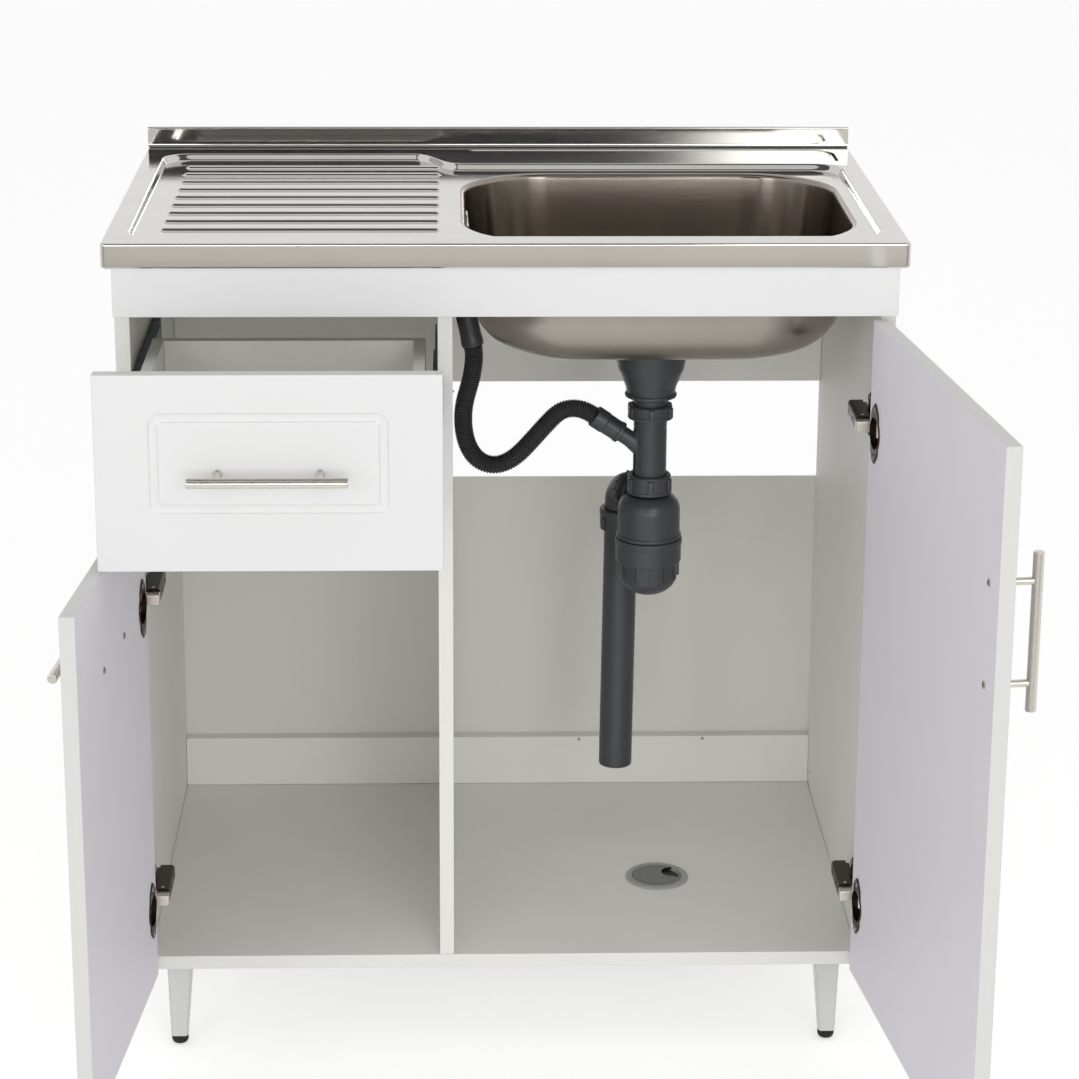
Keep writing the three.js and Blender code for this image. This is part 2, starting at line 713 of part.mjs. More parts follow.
function upstand() {
  const plate = block(
    [-SINK_WIDTH / 2, SINK_WIDTH / 2],
    [SINK_BACK - UPSTAND_THICKNESS, SINK_BACK],
    [DECK_HEIGHT - SHEET, DECK_HEIGHT + UPSTAND_HEIGHT],
  );
  const hem = block(
    [-SINK_WIDTH / 2, SINK_WIDTH / 2],
    [SINK_BACK - HEM_DEPTH, SINK_BACK],
    [DECK_HEIGHT + UPSTAND_HEIGHT - HEM_HEIGHT, DECK_HEIGHT + UPSTAND_HEIGHT],
  );
  return solidOf(plate).add(solidOf(hem));
}

function sinkTop() {
  const tub = solidOf(recess(SHEET, RECESS_Z - SHEET, DECK_HEIGHT - SHEET / 2));
  const hollow = solidOf(recess(0, RECESS_Z, DECK_HEIGHT));
  let body = deckShell().add(tub).add(solidOf(bowl(SHEET)));
  body = body.subtract(hollow);
  for (let i = 0; i < RIB_COUNT; i += 1) body = body.add(rib(RIB_FIRST_Y + i * RIB_PITCH));
  body = body.subtract(solidOf(bowl(0)));
  const waste = upright(WASTE_HOLE, BOWL_LOWEST - BOWL_DEPTH, RECESS_Z);
  body = body.subtract(solidOf(waste.translate(BOWL_X, BOWL_Y, 0)));
  body = body.add(upstand());
  const { middle, across } = overflowSeat();
  const hole = rod(
    middle.clone().addScaledVector(across, -OVERFLOW_HOLE),
    middle.clone().addScaledVector(across, OVERFLOW_HOLE),
    OVERFLOW_HOLE,
    20,
  );
  return geometryOf(body.subtract(solidOf(hole)));
}

// The overflow's place on the outside of the bowl's left wall, its direction outward and down.
function overflowSeat() {
  const lean = Math.atan(BOWL_DRAFT);
  const inset = BOWL_ENTRY + BOWL_DRAFT * (OVERFLOW_DROP - BOWL_ENTRY) - SHEET;
  return {
    middle: new THREE.Vector3(
      BOWL_LEFT + inset,
      BOWL_Y,
      RECESS_Z - OVERFLOW_DROP,
    ),
    across: new THREE.Vector3(-Math.cos(lean), 0, -Math.sin(lean)),
    down: new THREE.Vector3(Math.sin(lean), 0, -Math.cos(lean)),
  };
}

function cornerBlock(side) {
  const recessSide = SINK_WIDTH / 2 - RIM_SIDE + SHEET + CLEARANCE;
  const apronSide = SINK_WIDTH / 2 - SHEET - EDGE_ROLL;
  const level = [PANEL_TOP + CLEARANCE, RIM_UNDERSIDE];
  const back = BLOCK_FRONT + BLOCK_DEPTH;
  const rest = block([recessSide, apronSide], [CLEARANCE, back], level);
  const nose = block([OUTER_X + CLEARANCE, apronSide], [BLOCK_FRONT, back], level);
  const tongue = block(
    [OUTER_X + CLEARANCE, apronSide],
    [BLOCK_FRONT, -CLEARANCE],
    [DECK_HEIGHT - BLOCK_DROP, RIM_UNDERSIDE],
  );
  const body = solidOf(rest).add(solidOf(nose)).add(solidOf(tongue));
  return geometryOf(side > 0 ? body : body.mirror([1, 0, 0]));
}

// ---------------------------------------------------------------- waste and trap
// A collar nut with lugs to grip it by, standing on Z = 0.
function lugNut(diameter, bore, height, lugs) {
  const shape = new THREE.Shape();
  const radius = diameter / 2;
  const stepsBetween = 4;
  for (let lug = 0; lug < lugs; lug += 1) {
    for (let step = 0; step < stepsBetween; step += 1) {
      const angle = ((lug + step / stepsBetween) / lugs) * Math.PI * 2;
      const reach = step === 0 ? radius + NUT_LUG : radius;
      const flank = step === 0 ? 0.05 : 0;
      for (const turn of flank ? [-flank, flank] : [0]) {
        const [x, y] = [Math.cos(angle + turn) * reach, Math.sin(angle + turn) * reach];
        if (shape.curves.length === 0 && shape.currentPoint.length() === 0) shape.moveTo(x, y);
        else shape.lineTo(x, y);
      }
    }
  }
  const hole = new THREE.Path();
  hole.absarc(0, 0, bore / 2, 0, Math.PI * 2, true);
  shape.holes.push(hole);
  return raised(shape, height, 12);
}

function wasteBody() {
  const top = BOWL_LOWEST + CLEARANCE;
  const mid = BOWL_LOWEST - WASTE_CUP_DEPTH * 0.38;
  const neck = WASTE_NECK / 2;
  const neckFoot = WASTE_NUT_TOP - WASTE_NUT_HEIGHT + WASTE_WALL;
  return turned([
    [neck - WASTE_WALL, neckFoot],
    [neck, neckFoot],
    [neck, WASTE_FOOT],
    [WASTE_CUP_BOTTOM / 2, WASTE_FOOT],
    [WASTE_CUP_BOTTOM / 2, WASTE_FOOT + WASTE_COLLAR],
    [WASTE_CUP_BOTTOM / 2 - WASTE_WALL, WASTE_FOOT + WASTE_COLLAR + 1],
    [WASTE_CUP_TOP / 2 - 1, mid],
    [WASTE_CUP_TOP / 2, top],
    [WASTE_FLANGE / 2, top + flangeRise()],
    [WASTE_FLANGE / 2, top + flangeRise() + WASTE_FLANGE_THICKNESS],
    [WASTE_CUP_TOP / 2 - WASTE_WALL, top + WASTE_FLANGE_THICKNESS],
    [WASTE_CUP_TOP / 2 - WASTE_WALL - 1, mid],
    [WASTE_CUP_BOTTOM / 2 - 2 * WASTE_WALL, WASTE_FOOT + WASTE_COLLAR + 3],
    [neck - WASTE_WALL, WASTE_FOOT + WASTE_WALL],
  ]).translate(BOWL_X, BOWL_Y, 0);
}

// How much the bowl's floor climbs between the waste's mouth and the flange's edge.
function flangeRise() {
  const [inset] = bowlProfile().pop();
  const run = BOWL_LENGTH / 2 - inset - WASTE_HOLE / 2;
  return ((WASTE_FLANGE - WASTE_HOLE) / 2 / run) * BOWL_FALL + CLEARANCE;
}

function basketStrainer() {
  const rimZ = BOWL_LOWEST + CLEARANCE + WASTE_FLANGE_THICKNESS;
  const rim = WASTE_CUP_TOP / 2 - WASTE_WALL - 3;
  const floor = rim - BASKET_TAPER;
  const foot = rimZ - BASKET_DEPTH;
  const knob = BASKET_KNOB / 2;
  const cup = turned(
    [
      [0, foot],
      [floor, foot],
      [rim, rimZ - 2],
      [rim, rimZ],
      [rim - BASKET_WALL, rimZ],
      [floor - BASKET_WALL, foot + BASKET_WALL],
      [knob * 0.4, foot + BASKET_WALL],
      [knob * 0.4, rimZ - 6],
      [knob, rimZ - 3],
      [knob * 0.8, rimZ],
      [0, rimZ + 0.6],
    ],
    20,
  );
  const holes = [];
  for (let i = 0; i < BASKET_HOLES; i += 1) {
    const angle = (i / BASKET_HOLES) * Math.PI * 2;
    const radius = floor * 0.68;
    const drill = upright(BASKET_HOLE, foot - 5, foot + 5, 6);
    holes.push(drill.translate(radius * Math.cos(angle), radius * Math.sin(angle), 0));
  }
  return cut(cup, ...holes).translate(BOWL_X, BOWL_Y, 0);
}

// Points along the overflow branch, measured up its slope from the tailpipe's axis.
function alongBranch(distance) {
  const slope = radians(BRANCH_SLOPE);
  return new THREE.Vector3(
    BOWL_X - distance * Math.cos(slope),
    BOWL_Y,
    WASTE_NUT_TOP - BRANCH_DROP + distance * Math.sin(slope),
  );
}

function tailpipe() {
  const top = WASTE_NUT_TOP - WASTE_NUT_HEIGHT - CLEARANCE;
  const foot = TRAP_NUT_FOOT + CLEARANCE;
  const outer = upright(WASTE_NECK, foot, top).translate(BOWL_X, BOWL_Y, 0);
  const bore = WASTE_NECK - 2 * WASTE_WALL;
  const inner = upright(bore, foot - 5, top + 5).translate(BOWL_X, BOWL_Y, 0);
  const branch = rod(alongBranch(0), alongBranch(BRANCH_LENGTH), BRANCH_DIAMETER, 20);
  const branchBore = rod(
    alongBranch(0),
    alongBranch(BRANCH_LENGTH + 5),
    BRANCH_DIAMETER - 2 * BRANCH_WALL,
    20,
  );
  return cut(joined(outer, branch), inner, branchBore);
}

function trapBody() {
  const radius = TRAP_DIAMETER / 2;
  const neck = WASTE_NECK / 2 + TRAP_NECK_WALL;
  const wall = TRAP_WALL;
  const shell = turned([
    [radius - wall, TRAP_FOOT],
    [radius, TRAP_FOOT],
    [radius, TRAP_TOP - TRAP_SHOULDER],
    [radius - TRAP_SHOULDER * 0.3, TRAP_TOP - TRAP_SHOULDER * 0.3],
    [radius - TRAP_SHOULDER, TRAP_TOP],
    [neck - wall, TRAP_TOP],
    [neck - wall, TRAP_TOP - wall],
    [radius - TRAP_SHOULDER - wall * 0.4, TRAP_TOP - wall],
    [radius - wall, TRAP_TOP - TRAP_SHOULDER - wall * 0.5],
  ]).translate(BOWL_X, BOWL_Y, 0);
  const socket = rod(
    outletPoint(radius - 2 * wall),
    outletPoint(radius + OUTLET_SOCKET),
    OUTLET_SOCKET_DIAMETER,
  );
  const bore = rod(
    outletPoint(radius * 0.5),
    outletPoint(radius + TRAP_SHOULDER),
    OUTLET_SOCKET_DIAMETER - 2 * OUTLET_WALL,
  );
  const chamber = upright(
    TRAP_DIAMETER - 2 * wall - 1,
    TRAP_FOOT - 1,
    TRAP_TOP - TRAP_SHOULDER - wall,
  );
  return cut(joined(shell, socket), bore, chamber.translate(BOWL_X, BOWL_Y, 0));
}

// Points along the level outlet, measured from the trap's axis.
function outletPoint(reach, z = OUTLET_Z) {
  const turn = radians(OUTLET_TURN);
  return new THREE.Vector3(
    BOWL_X + reach * Math.cos(turn),
    BOWL_Y + reach * Math.sin(turn),
    z,
  );
}

function trapCup() {
  const ringRadius = CUP_RING_DIAMETER / 2;
  const radius = CUP_DIAMETER / 2;
  const top = TRAP_FOOT - CLEARANCE;
  const foot = top - CUP_HEIGHT;
  const ringFoot = top - CUP_RING_HEIGHT;
  const wall = TRAP_WALL;
  const cup = turned([
    [0, foot],
    [radius * 0.55, foot + CUP_DOME_HEIGHT * 0.1],
    [radius * 0.85, foot + CUP_DOME_HEIGHT * 0.45],
    [radius, foot + CUP_DOME_HEIGHT],
    [radius, ringFoot],
    [ringRadius, ringFoot],
    [ringRadius, top],
    [radius - wall, top],
    [radius - wall, foot + CUP_DOME_HEIGHT],
    [radius * 0.8 - wall, foot + CUP_DOME_HEIGHT * 0.55],
    [0, foot + 2 * wall],
  ]);
  const ribs = [];
  for (let i = 0; i < CUP_RIB_COUNT; i += 1) {
    const bar = block(
      [radius - wall * 0.6, radius + CUP_RIB],
      [-CUP_RIB / 2, CUP_RIB / 2],
      [ringFoot - CUP_RIB_HEIGHT, ringFoot + 1],
    );
    ribs.push(bar.rotateZ((i / CUP_RIB_COUNT) * Math.PI * 2));
  }
  return joined(cup, ...ribs).translate(BOWL_X, BOWL_Y, 0);
}

// The outlet's bend: a level arm and a plumb arm that meet in a ball.
function outletElbow() {
  const start = TRAP_DIAMETER / 2 + OUTLET_SOCKET + CLEARANCE;
  const bend = (diameter, from, to) => {
    const ball = new THREE.SphereGeometry(diameter / 2, 16, 8);
    return joined(
      rod(outletPoint(from), outletPoint(OUTLET_REACH), diameter),
      rod(outletPoint(OUTLET_REACH), outletPoint(OUTLET_REACH, to), diameter),
      ball.rotateX(Math.PI / 2).translate(...outletPoint(OUTLET_REACH)),
    );
  };
  const foot = OUTLET_Z - ELBOW_TAIL;
  const outer = bend(OUTLET_DIAMETER, start, foot);
  const inner = bend(OUTLET_DIAMETER - 2 * OUTLET_WALL, start - 5, foot - 5);
  return cut(outer, inner);
}

function wasteAssembly() {
  const group = new THREE.Group();
  group.add(piece("basket_strainer", basketStrainer(), "stainless"));
  group.add(piece("waste_body", wasteBody(), "plastic"));
  const wasteNut = lugNut(WASTE_NUT_DIAMETER, WASTE_NECK + 2 * CLEARANCE, WASTE_NUT_HEIGHT, 6);
  wasteNut.translate(BOWL_X, BOWL_Y, WASTE_NUT_TOP - WASTE_NUT_HEIGHT);
  group.add(piece("waste_nut", wasteNut, "plastic"));
  group.add(piece("tailpipe_branch", tailpipe(), "plastic"));
  const trapNut = lugNut(TRAP_NUT_DIAMETER, WASTE_NECK + 2 * CLEARANCE, TRAP_NUT_HEIGHT, 6);
  trapNut.translate(BOWL_X, BOWL_Y, TRAP_NUT_FOOT);
  group.add(piece("trap_inlet_nut", trapNut, "plastic"));
  group.add(piece("trap_body", trapBody(), "plastic"));
  group.add(piece("trap_cup", trapCup(), "plastic"));
  group.add(piece("outlet_elbow", outletElbow(), "plastic"));
  const lower = new THREE.Group();
  const foot = outletPoint(OUTLET_REACH, OUTLET_Z - ELBOW_TAIL - CLEARANCE);
  lower.position.copy(foot);
  lower.rotation.y = radians(OUTLET_LEAN);
  const bore = OUTLET_DIAMETER + 2 * CLEARANCE;
  const nut = lugNut(OUTLET_NUT_DIAMETER, bore, OUTLET_NUT_HEIGHT, 6);
  nut.translate(0, 0, -OUTLET_NUT_HEIGHT - CLEARANCE);
  lower.add(piece("outlet_nut", nut, "plastic"));
  const pipeBore = OUTLET_DIAMETER - 2 * OUTLET_WALL;
  const pipe = ring(OUTLET_DIAMETER, pipeBore, -OUTLET_PIPE_LENGTH, -CLEARANCE);
  lower.add(piece("outlet_pipe", pipe, "plastic"));
  group.add(lower);
  return group;
}

// ---------------------------------------------------------------- overflow
// The upper cuff's middle line: from the spigot under the overflow down to the hose.
function upperCuffPath() {
  const { middle, across, down } = overflowSeat();
  const start = middle
    .clone()
    .addScaledVector(across, OVERFLOW_SPIGOT_OFFSET)
    .addScaledVector(down, OVERFLOW_SPIGOT_LENGTH + CLEARANCE);
  const [right, up] = UPPER_CUFF_REACH;
  const end = new THREE.Vector3(start.x + right, BOWL_Y, start.z + up);
  const tilt = radians(UPPER_CUFF_TILT);
  const leaving = new THREE.Vector3(Math.sin(tilt), 0, -Math.cos(tilt));
  const pull = Math.abs(up) / 3;
  const path = new THREE.CubicBezierCurve3(
    start,
    start.clone().addScaledVector(down, pull),
    end.clone().addScaledVector(leaving, -pull),
    end,
  );
  return { path, end, leaving };
}

function upperCuff() {
  const shape = new THREE.Shape().absarc(0, 0, CUFF_DIAMETER / 2, 0, Math.PI * 2, false);
  const bore = new THREE.Path().absarc(0, 0, CUFF_DIAMETER / 2 - CUFF_WALL, 0, Math.PI * 2, true);
  shape.holes.push(bore);
  return new THREE.ExtrudeGeometry(shape, {
    steps: 8,
    curveSegments: 7,
    extrudePath: upperCuffPath().path,
  });
}

function lowerCuff() {
  const outer = rod(alongBranch(LOWER_CUFF_START), alongBranch(LOWER_CUFF_END), CUFF_DIAMETER);
  const socket = rod(
    alongBranch(LOWER_CUFF_START - 5),
    alongBranch(BRANCH_LENGTH + CLEARANCE),
    BRANCH_DIAMETER + 2 * CLEARANCE,
  );
  const bore = rod(alongBranch(BRANCH_LENGTH - 5), alongBranch(LOWER_CUFF_END + 5), HOSE_BORE);
  return cut(outer, socket, bore);
}

// The hose's middle line, straight for one diameter at both ends.
function hosePath() {
  const { end, leaving } = upperCuffPath();
  const straight = HOSE_DIAMETER;
  const ease = 2;
  const start = end.clone().addScaledVector(leaving, CLEARANCE);
  const points = [0, straight, straight + ease].map((run) =>
    start.clone().addScaledVector(leaving, run),
  );
  for (const [across, up] of HOSE_ROUTE) {
    points.push(new THREE.Vector3(BOWL_X + across, BOWL_Y, BOWL_LOWEST + up));
  }
  const lastEnd = LOWER_CUFF_END + CLEARANCE;
  for (const run of [straight + ease, straight, 0]) points.push(alongBranch(lastEnd + run));
  return new THREE.CatmullRomCurve3(points, false, "centripetal");
}

// A tube with a rib every pitch along its path, and a bore right through.
function ribbedTube(path, diameter, bore, ribDepth, pitch) {
  const sides = 8;
  const ribsPerBoreRing = 5;
  const ribs = Math.round(path.getLength() / pitch / ribsPerBoreRing) * ribsPerBoreRing;
  const outerRings = ribs * 2 + 1;
  const boreRings = ribs / ribsPerBoreRing + 1;
  const corners = [];
  const faces = [];
  const sideways = new THREE.Vector3(0, 1, 0);
  const addRing = (share, radius) => {
    const centre = path.getPointAt(share);
    const normal = new THREE.Vector3().crossVectors(sideways, path.getTangentAt(share));
    for (let i = 0; i < sides; i += 1) {
      const angle = (i / sides) * Math.PI * 2;
      const point = centre
        .clone()
        .addScaledVector(normal, radius * Math.cos(angle))
        .addScaledVector(sideways, radius * Math.sin(angle));
      corners.push(point.x, point.y, point.z);
    }
  };
  // Joins two rings; swapping the rings turns the face round.
  const addBand = (first, second) => {
    for (let i = 0; i < sides; i += 1) {
      const next = (i + 1) % sides;
      faces.push(first + i, first + next, second + next);
      faces.push(first + i, second + next, second + i);
    }
  };
  for (let k = 0; k < outerRings; k += 1) {
    const radius = diameter / 2 - (k % 2 === 0 ? ribDepth : 0);
    addRing(k / (outerRings - 1), radius);
  }
  const boreStart = outerRings * sides;
  for (let k = 0; k < boreRings; k += 1) addRing(k / (boreRings - 1), bore / 2);
  for (let k = 0; k + 1 < outerRings; k += 1) addBand(k * sides, (k + 1) * sides);
  for (let k = 0; k + 1 < boreRings; k += 1) {
    addBand(boreStart + (k + 1) * sides, boreStart + k * sides);
  }
  addBand(boreStart, 0);
  addBand((outerRings - 1) * sides, boreStart + (boreRings - 1) * sides);
  const geometry = new THREE.BufferGeometry();
  geometry.setAttribute("position", new THREE.Float32BufferAttribute(corners, 3));
  geometry.setIndex(faces);
  geometry.computeVertexNormals();
  return geometry;
}

function overflowElbow() {
  const { middle, across, down } = overflowSeat();
  const at = (out, fall) =>
    middle.clone().addScaledVector(across, out).addScaledVector(down, fall);
  const disc = rod(
    at(CLEARANCE, 0),
    at(CLEARANCE + OVERFLOW_DISC_THICKNESS, 0),
    OVERFLOW_DISC,
    20,
  );
  const chest = rod(at(2, 0), at(OVERFLOW_SPIGOT_OFFSET + CUFF_DIAMETER / 2, 0), CUFF_DIAMETER);
  const spigot = rod(
    at(OVERFLOW_SPIGOT_OFFSET, 0),
    at(OVERFLOW_SPIGOT_OFFSET, OVERFLOW_SPIGOT_LENGTH),
    CUFF_DIAMETER,
  );
  const bore = CUFF_DIAMETER - 2 * CUFF_WALL;
  const inlet = rod(at(-5, 0), at(OVERFLOW_SPIGOT_OFFSET + bore / 2, 0), bore - 4, 12);
  const drop = rod(
    at(OVERFLOW_SPIGOT_OFFSET, 0),
    at(OVERFLOW_SPIGOT_OFFSET, OVERFLOW_SPIGOT_LENGTH + 5),
    bore,
    12,
  );
  return cut(joined(disc, chest, spigot), inlet, drop);
}

function overflowRosette() {
  const { middle, across } = overflowSeat();
  const at = (out) => middle.clone().addScaledVector(across, out);
  const face = SHEET + CLEARANCE;
  const plate = rod(at(-face - ROSETTE_THICKNESS), at(-face), ROSETTE_DIAMETER, 24);
  const stem = rod(at(-face - 1), at(-0.5), OVERFLOW_HOLE - 2, 20);
  const bore = rod(at(-face - ROSETTE_THICKNESS - 5), at(5), OVERFLOW_HOLE - 6, 16);
  const bar = rod(
    at(-face - 1).add(new THREE.Vector3(0, -OVERFLOW_HOLE / 2 + 1, 0)),
    at(-face - 1).add(new THREE.Vector3(0, OVERFLOW_HOLE / 2 - 1, 0)),
    1.6,
    8,
  );
  return joined(cut(joined(plate, stem), bore), bar);
}

function overflow() {
  const group = new THREE.Group();
  const path = hosePath();
  group.add(piece("overflow_rosette", overflowRosette(), "chrome"));
  group.add(piece("overflow_elbow", overflowElbow(), "plastic"));
  group.add(piece("hose_cuff_upper", upperCuff(), "plastic"));
  const hose = ribbedTube(path, HOSE_DIAMETER, HOSE_BORE, HOSE_RIB_DEPTH, HOSE_RIB_PITCH);
  group.add(piece("overflow_hose", hose, "plastic"));
  group.add(piece("hose_cuff_lower", lowerCuff(), "plastic"));
  console.log(`overflow hose: ${path.getLength().toFixed(1)} mm along its middle`);
  return group;
}

// ---------------------------------------------------------------- handles
// A bar on two posts. Its face plane is Y = 0, the bar runs along X in front of it.
function barHandle() {
  const at = (x, y) => new THREE.Vector3(x, y, 0);
  const half = HANDLE_LENGTH / 2;
  const bar = rod(at(-half, -HANDLE_STANDOFF), at(half, -HANDLE_STANDOFF), HANDLE_DIAMETER, 16);
  const posts = [-1, 1].map((side) => {
    const x = (side * HANDLE_CENTRES) / 2;
    return rod(at(x, -CLEARANCE), at(x, -HANDLE_STANDOFF), HANDLE_POST, 12);
  });
  return joined(bar, ...posts);
}

// ---------------------------------------------------------------- hinges and doors
// Heights of a door's two hinges.
function hingeHeights(top, fromTop) {
  return { upper: top - fromTop, lower: LEG_HEIGHT + HINGE_FROM_BOTTOM };
}

// The cup in the door with its long flange, about the cup's axis. Y = 0 is the door's inner face.
function hingeCup() {
  const halfWidth = CUP_FLANGE_WIDTH / 2;
  const halfHeight = CUP_FLANGE_HEIGHT / 2;
  const shoulder = halfHeight - CUP_FLANGE_POINT;
  const flange = stretchedBack(
    outline([
      [-halfWidth, -shoulder],
      [0, -halfHeight],
      [halfWidth, -shoulder],
      [halfWidth, shoulder],
      [0, halfHeight],
      [-halfWidth, shoulder],
    ]),
    CUP_FLANGE_THICKNESS,
  ).translate(0, CLEARANCE, 0);
  const along = (y) => new THREE.Vector3(0, y, 0);
  const outside = CUP_HOLE - 2 * CLEARANCE;
  const floor = -CUP_HOLE_DEPTH + CLEARANCE;
  const rim = CLEARANCE + CUP_FLANGE_THICKNESS;
  const cup = rod(along(floor), along(rim), outside, 24);
  const hollow = rod(
    along(floor + HINGE_CUP_WALL),
    along(rim + 5),
    outside - 2 * HINGE_CUP_WALL,
    24,
  );
  return cut(joined(cup, flange), hollow);
}

// The mounting plate on the side panel with the hinge's arm and front link, for one side.
function hingeArm(side, z) {
  const face = (rise) => side * (INNER_X - rise);
  const span = (from, to) => [face(from), face(to)].sort((a, b) => a - b);
  const wing = outline([
    [-PLATE_WIDTH / 2, -PLATE_WING + PLATE_POINT],
    [0, -PLATE_WING],
    [PLATE_WIDTH / 2, -PLATE_WING + PLATE_POINT],
    [PLATE_WIDTH / 2, PLATE_WING - PLATE_POINT],
    [0, PLATE_WING],
    [-PLATE_WIDTH / 2, PLATE_WING - PLATE_POINT],
  ]);
  const wings = raised(wing, PLATE_THICKNESS)
    .rotateX(Math.PI / 2)
    .rotateZ(Math.PI / 2)
    .translate(0, PLATE_SETBACK, z);
  wings.translate(side > 0 ? INNER_X - CLEARANCE - PLATE_THICKNESS : CLEARANCE - INNER_X, 0, 0);
  const height = (width) => [z - width / 2, z + width / 2];
  const foot = block(
    span(CLEARANCE, ARM_RISE - 2),
    [PLATE_SETBACK - PLATE_WIDTH / 2, ARM_BACK],
    height(ARM_WIDTH),
  );
  const arm = block(span(PLATE_THICKNESS + 5, ARM_RISE), [ARM_FRONT, ARM_BACK], height(ARM_WIDTH));
  const link = block(span(...LINK_RISE), [-LINK_REACH, ARM_FRONT + 10], height(LINK_WIDTH));
  return joined(wings, foot, arm, link);
}

// A door about its hinge line, closed: its free edge points away from its side.
function doorLeaf(side, width, top, heights) {
  const across = [side * HINGE_EDGE, side * (HINGE_EDGE - width)].sort((a, b) => a - b);
  const leaf = block(
    across,
    [FRONT_INNER_FACE - FRONT_THICKNESS, FRONT_INNER_FACE],
    [LEG_HEIGHT, top],
  );
  const cupX = side * (HINGE_EDGE - CUP_EDGE);
  const holes = Object.values(heights).map((z) =>
    rod(
      new THREE.Vector3(cupX, FRONT_INNER_FACE - CUP_HOLE_DEPTH, z),
      new THREE.Vector3(cupX, FRONT_INNER_FACE + 5, z),
      CUP_HOLE,
      24,
    ),
  );
  return cut(leaf, ...holes);
}

function door({ word, side, width, top, fromTop, opened, handle }) {
  const heights = hingeHeights(top, fromTop);
  const leafGroup = new THREE.Group();
  leafGroup.position.set(side * (OUTER_X - PIVOT_IN), -PIVOT_FORWARD, 0);
  leafGroup.rotation.z = side * radians(opened);
  leafGroup.add(piece(`door_${word}`, doorLeaf(side, width, top, heights), "front"));
  leafGroup.add(piece(`handle_${word}`, handle, "nickel"));
  const whole = new THREE.Group();
  whole.add(leafGroup);
  for (const [level, z] of Object.entries(heights)) {
    const cup = hingeCup().translate(side * (HINGE_EDGE - CUP_EDGE), FRONT_INNER_FACE, z);
    leafGroup.add(piece(`hinge_cup_${word}_${level}`, cup, "hinge"));
    whole.add(piece(`hinge_arm_${word}_${level}`, hingeArm(side, z), "hinge"));
  }
  return whole;
}

function doors() {
  const outerFace = FRONT_INNER_FACE - FRONT_THICKNESS;
  const rightX = HINGE_EDGE - RIGHT_COLUMN_WIDTH + RIGHT_HANDLE_INSET;
  const rightHandle = barHandle()
    .rotateY(Math.PI / 2)
    .translate(rightX, outerFace, FRONT_TOP - RIGHT_HANDLE_DROP);
  const leftX = LEFT_COLUMN_WIDTH / 2 - HINGE_EDGE;
  const leftHandle = barHandle().translate(leftX, outerFace, LEFT_DOOR_TOP - LEFT_HANDLE_DROP);
  const right = door({
    word: "right",
    side: 1,
    width: RIGHT_COLUMN_WIDTH,
    top: FRONT_TOP,
    fromTop: RIGHT_HINGE_FROM_TOP,
    opened: RIGHT_DOOR_OPEN,
    handle: rightHandle,
  });
  const left = door({
    word: "left",
    side: -1,
    width: LEFT_COLUMN_WIDTH,
    top: LEFT_DOOR_TOP,
    fromTop: LEFT_HINGE_FROM_TOP,
    opened: LEFT_DOOR_OPEN,
    handle: leftHandle,
  });
  const group = new THREE.Group();
  group.add(right, left);
  return group;
}

// ---------------------------------------------------------------- drawer
function drawerFront(left, right) {
  const outerFace = -FRONT_STANDOFF - FRONT_THICKNESS;
  const slab = block(
    [left, right],
    [outerFace, -FRONT_STANDOFF],
    [DRAWER_FRONT_BOTTOM, FRONT_TOP],
  );
  const [frameWidth, frameHeight] = GROOVE_FRAME;
  const middleX = (left + right) / 2;
  const middleZ = (FRONT_TOP + DRAWER_FRONT_BOTTOM) / 2 + GROOVE_RISE;
  const frame = (shrink, corner) =>
    new THREE.Shape(
      roundedRectangle(
        middleX,
        middleZ,
        frameWidth - 2 * shrink,
        frameHeight - 2 * shrink,
        corner,
        4,
      ),
    );
  const groove = solidOf(stretchedBack(frame(0, GROOVE_CORNER), 2 * GROOVE_DEPTH)).subtract(
    solidOf(
      stretchedBack(frame(GROOVE_WIDTH, GROOVE_CORNER * 0.4), 3 * GROOVE_DEPTH).translate(0, -1, 0),
    ),
  );
  return geometryOf(solidOf(slab).subtract(groove.translate([0, outerFace - GROOVE_DEPTH, 0])));
}

// A steel channel along Y: its web at webU, its flanges reaching to tipU, height tall.
function channel(webU, tipU, height) {
  const inward = Math.sign(tipU - webU);
  const web = webU + inward * SLIDE_STEEL;
  const half = height / 2;
  const lip = half - SLIDE_STEEL;
  return stretchedBack(
    outline([
      [webU, -half],
      [tipU, -half],
      [tipU, -lip],
      [web, -lip],
      [web, lip],
      [tipU, lip],
      [tipU, half],
      [webU, half],
    ]),
    DRAWER_LENGTH,
  );
}

// The three members of one slide, measured from the cabinet's face towards the drawer.
function slideMembers() {
  const step = SLIDE_STEEL + SLIDE_PLAY;
  const outer = CLEARANCE;
  const middle = outer + step;
  const innerTip = middle + step;
  const innerWeb = SLIDE_WIDTH - CLEARANCE;
  return {
    outer: channel(outer, innerWeb - 2 * step, SLIDE_HEIGHT),
    middle: channel(middle, innerWeb - step, SLIDE_HEIGHT - 2 * step),
    inner: channel(innerWeb, innerTip, SLIDE_HEIGHT - 4 * step),
  };
}

function slides() {
  const group = new THREE.Group();
  const travel = { outer: 0, middle: -DRAWER_PULLED / 2, inner: -DRAWER_PULLED };
  for (const [word, side, face] of [
    ["left", 1, -INNER_X],
    ["right", -1, DIVIDER_LEFT],
  ]) {
    for (const [member, geometry] of Object.entries(slideMembers())) {
      const flipped = side > 0 ? geometry : geometryOf(solidOf(geometry).mirror([1, 0, 0]));
      const mesh = piece(`slide_${member}_${word}`, flipped, "zinc");
      mesh.position.set(face, SLIDE_SETBACK + travel[member], SLIDE_Z);
      group.add(mesh);
    }
  }
  return group;
}

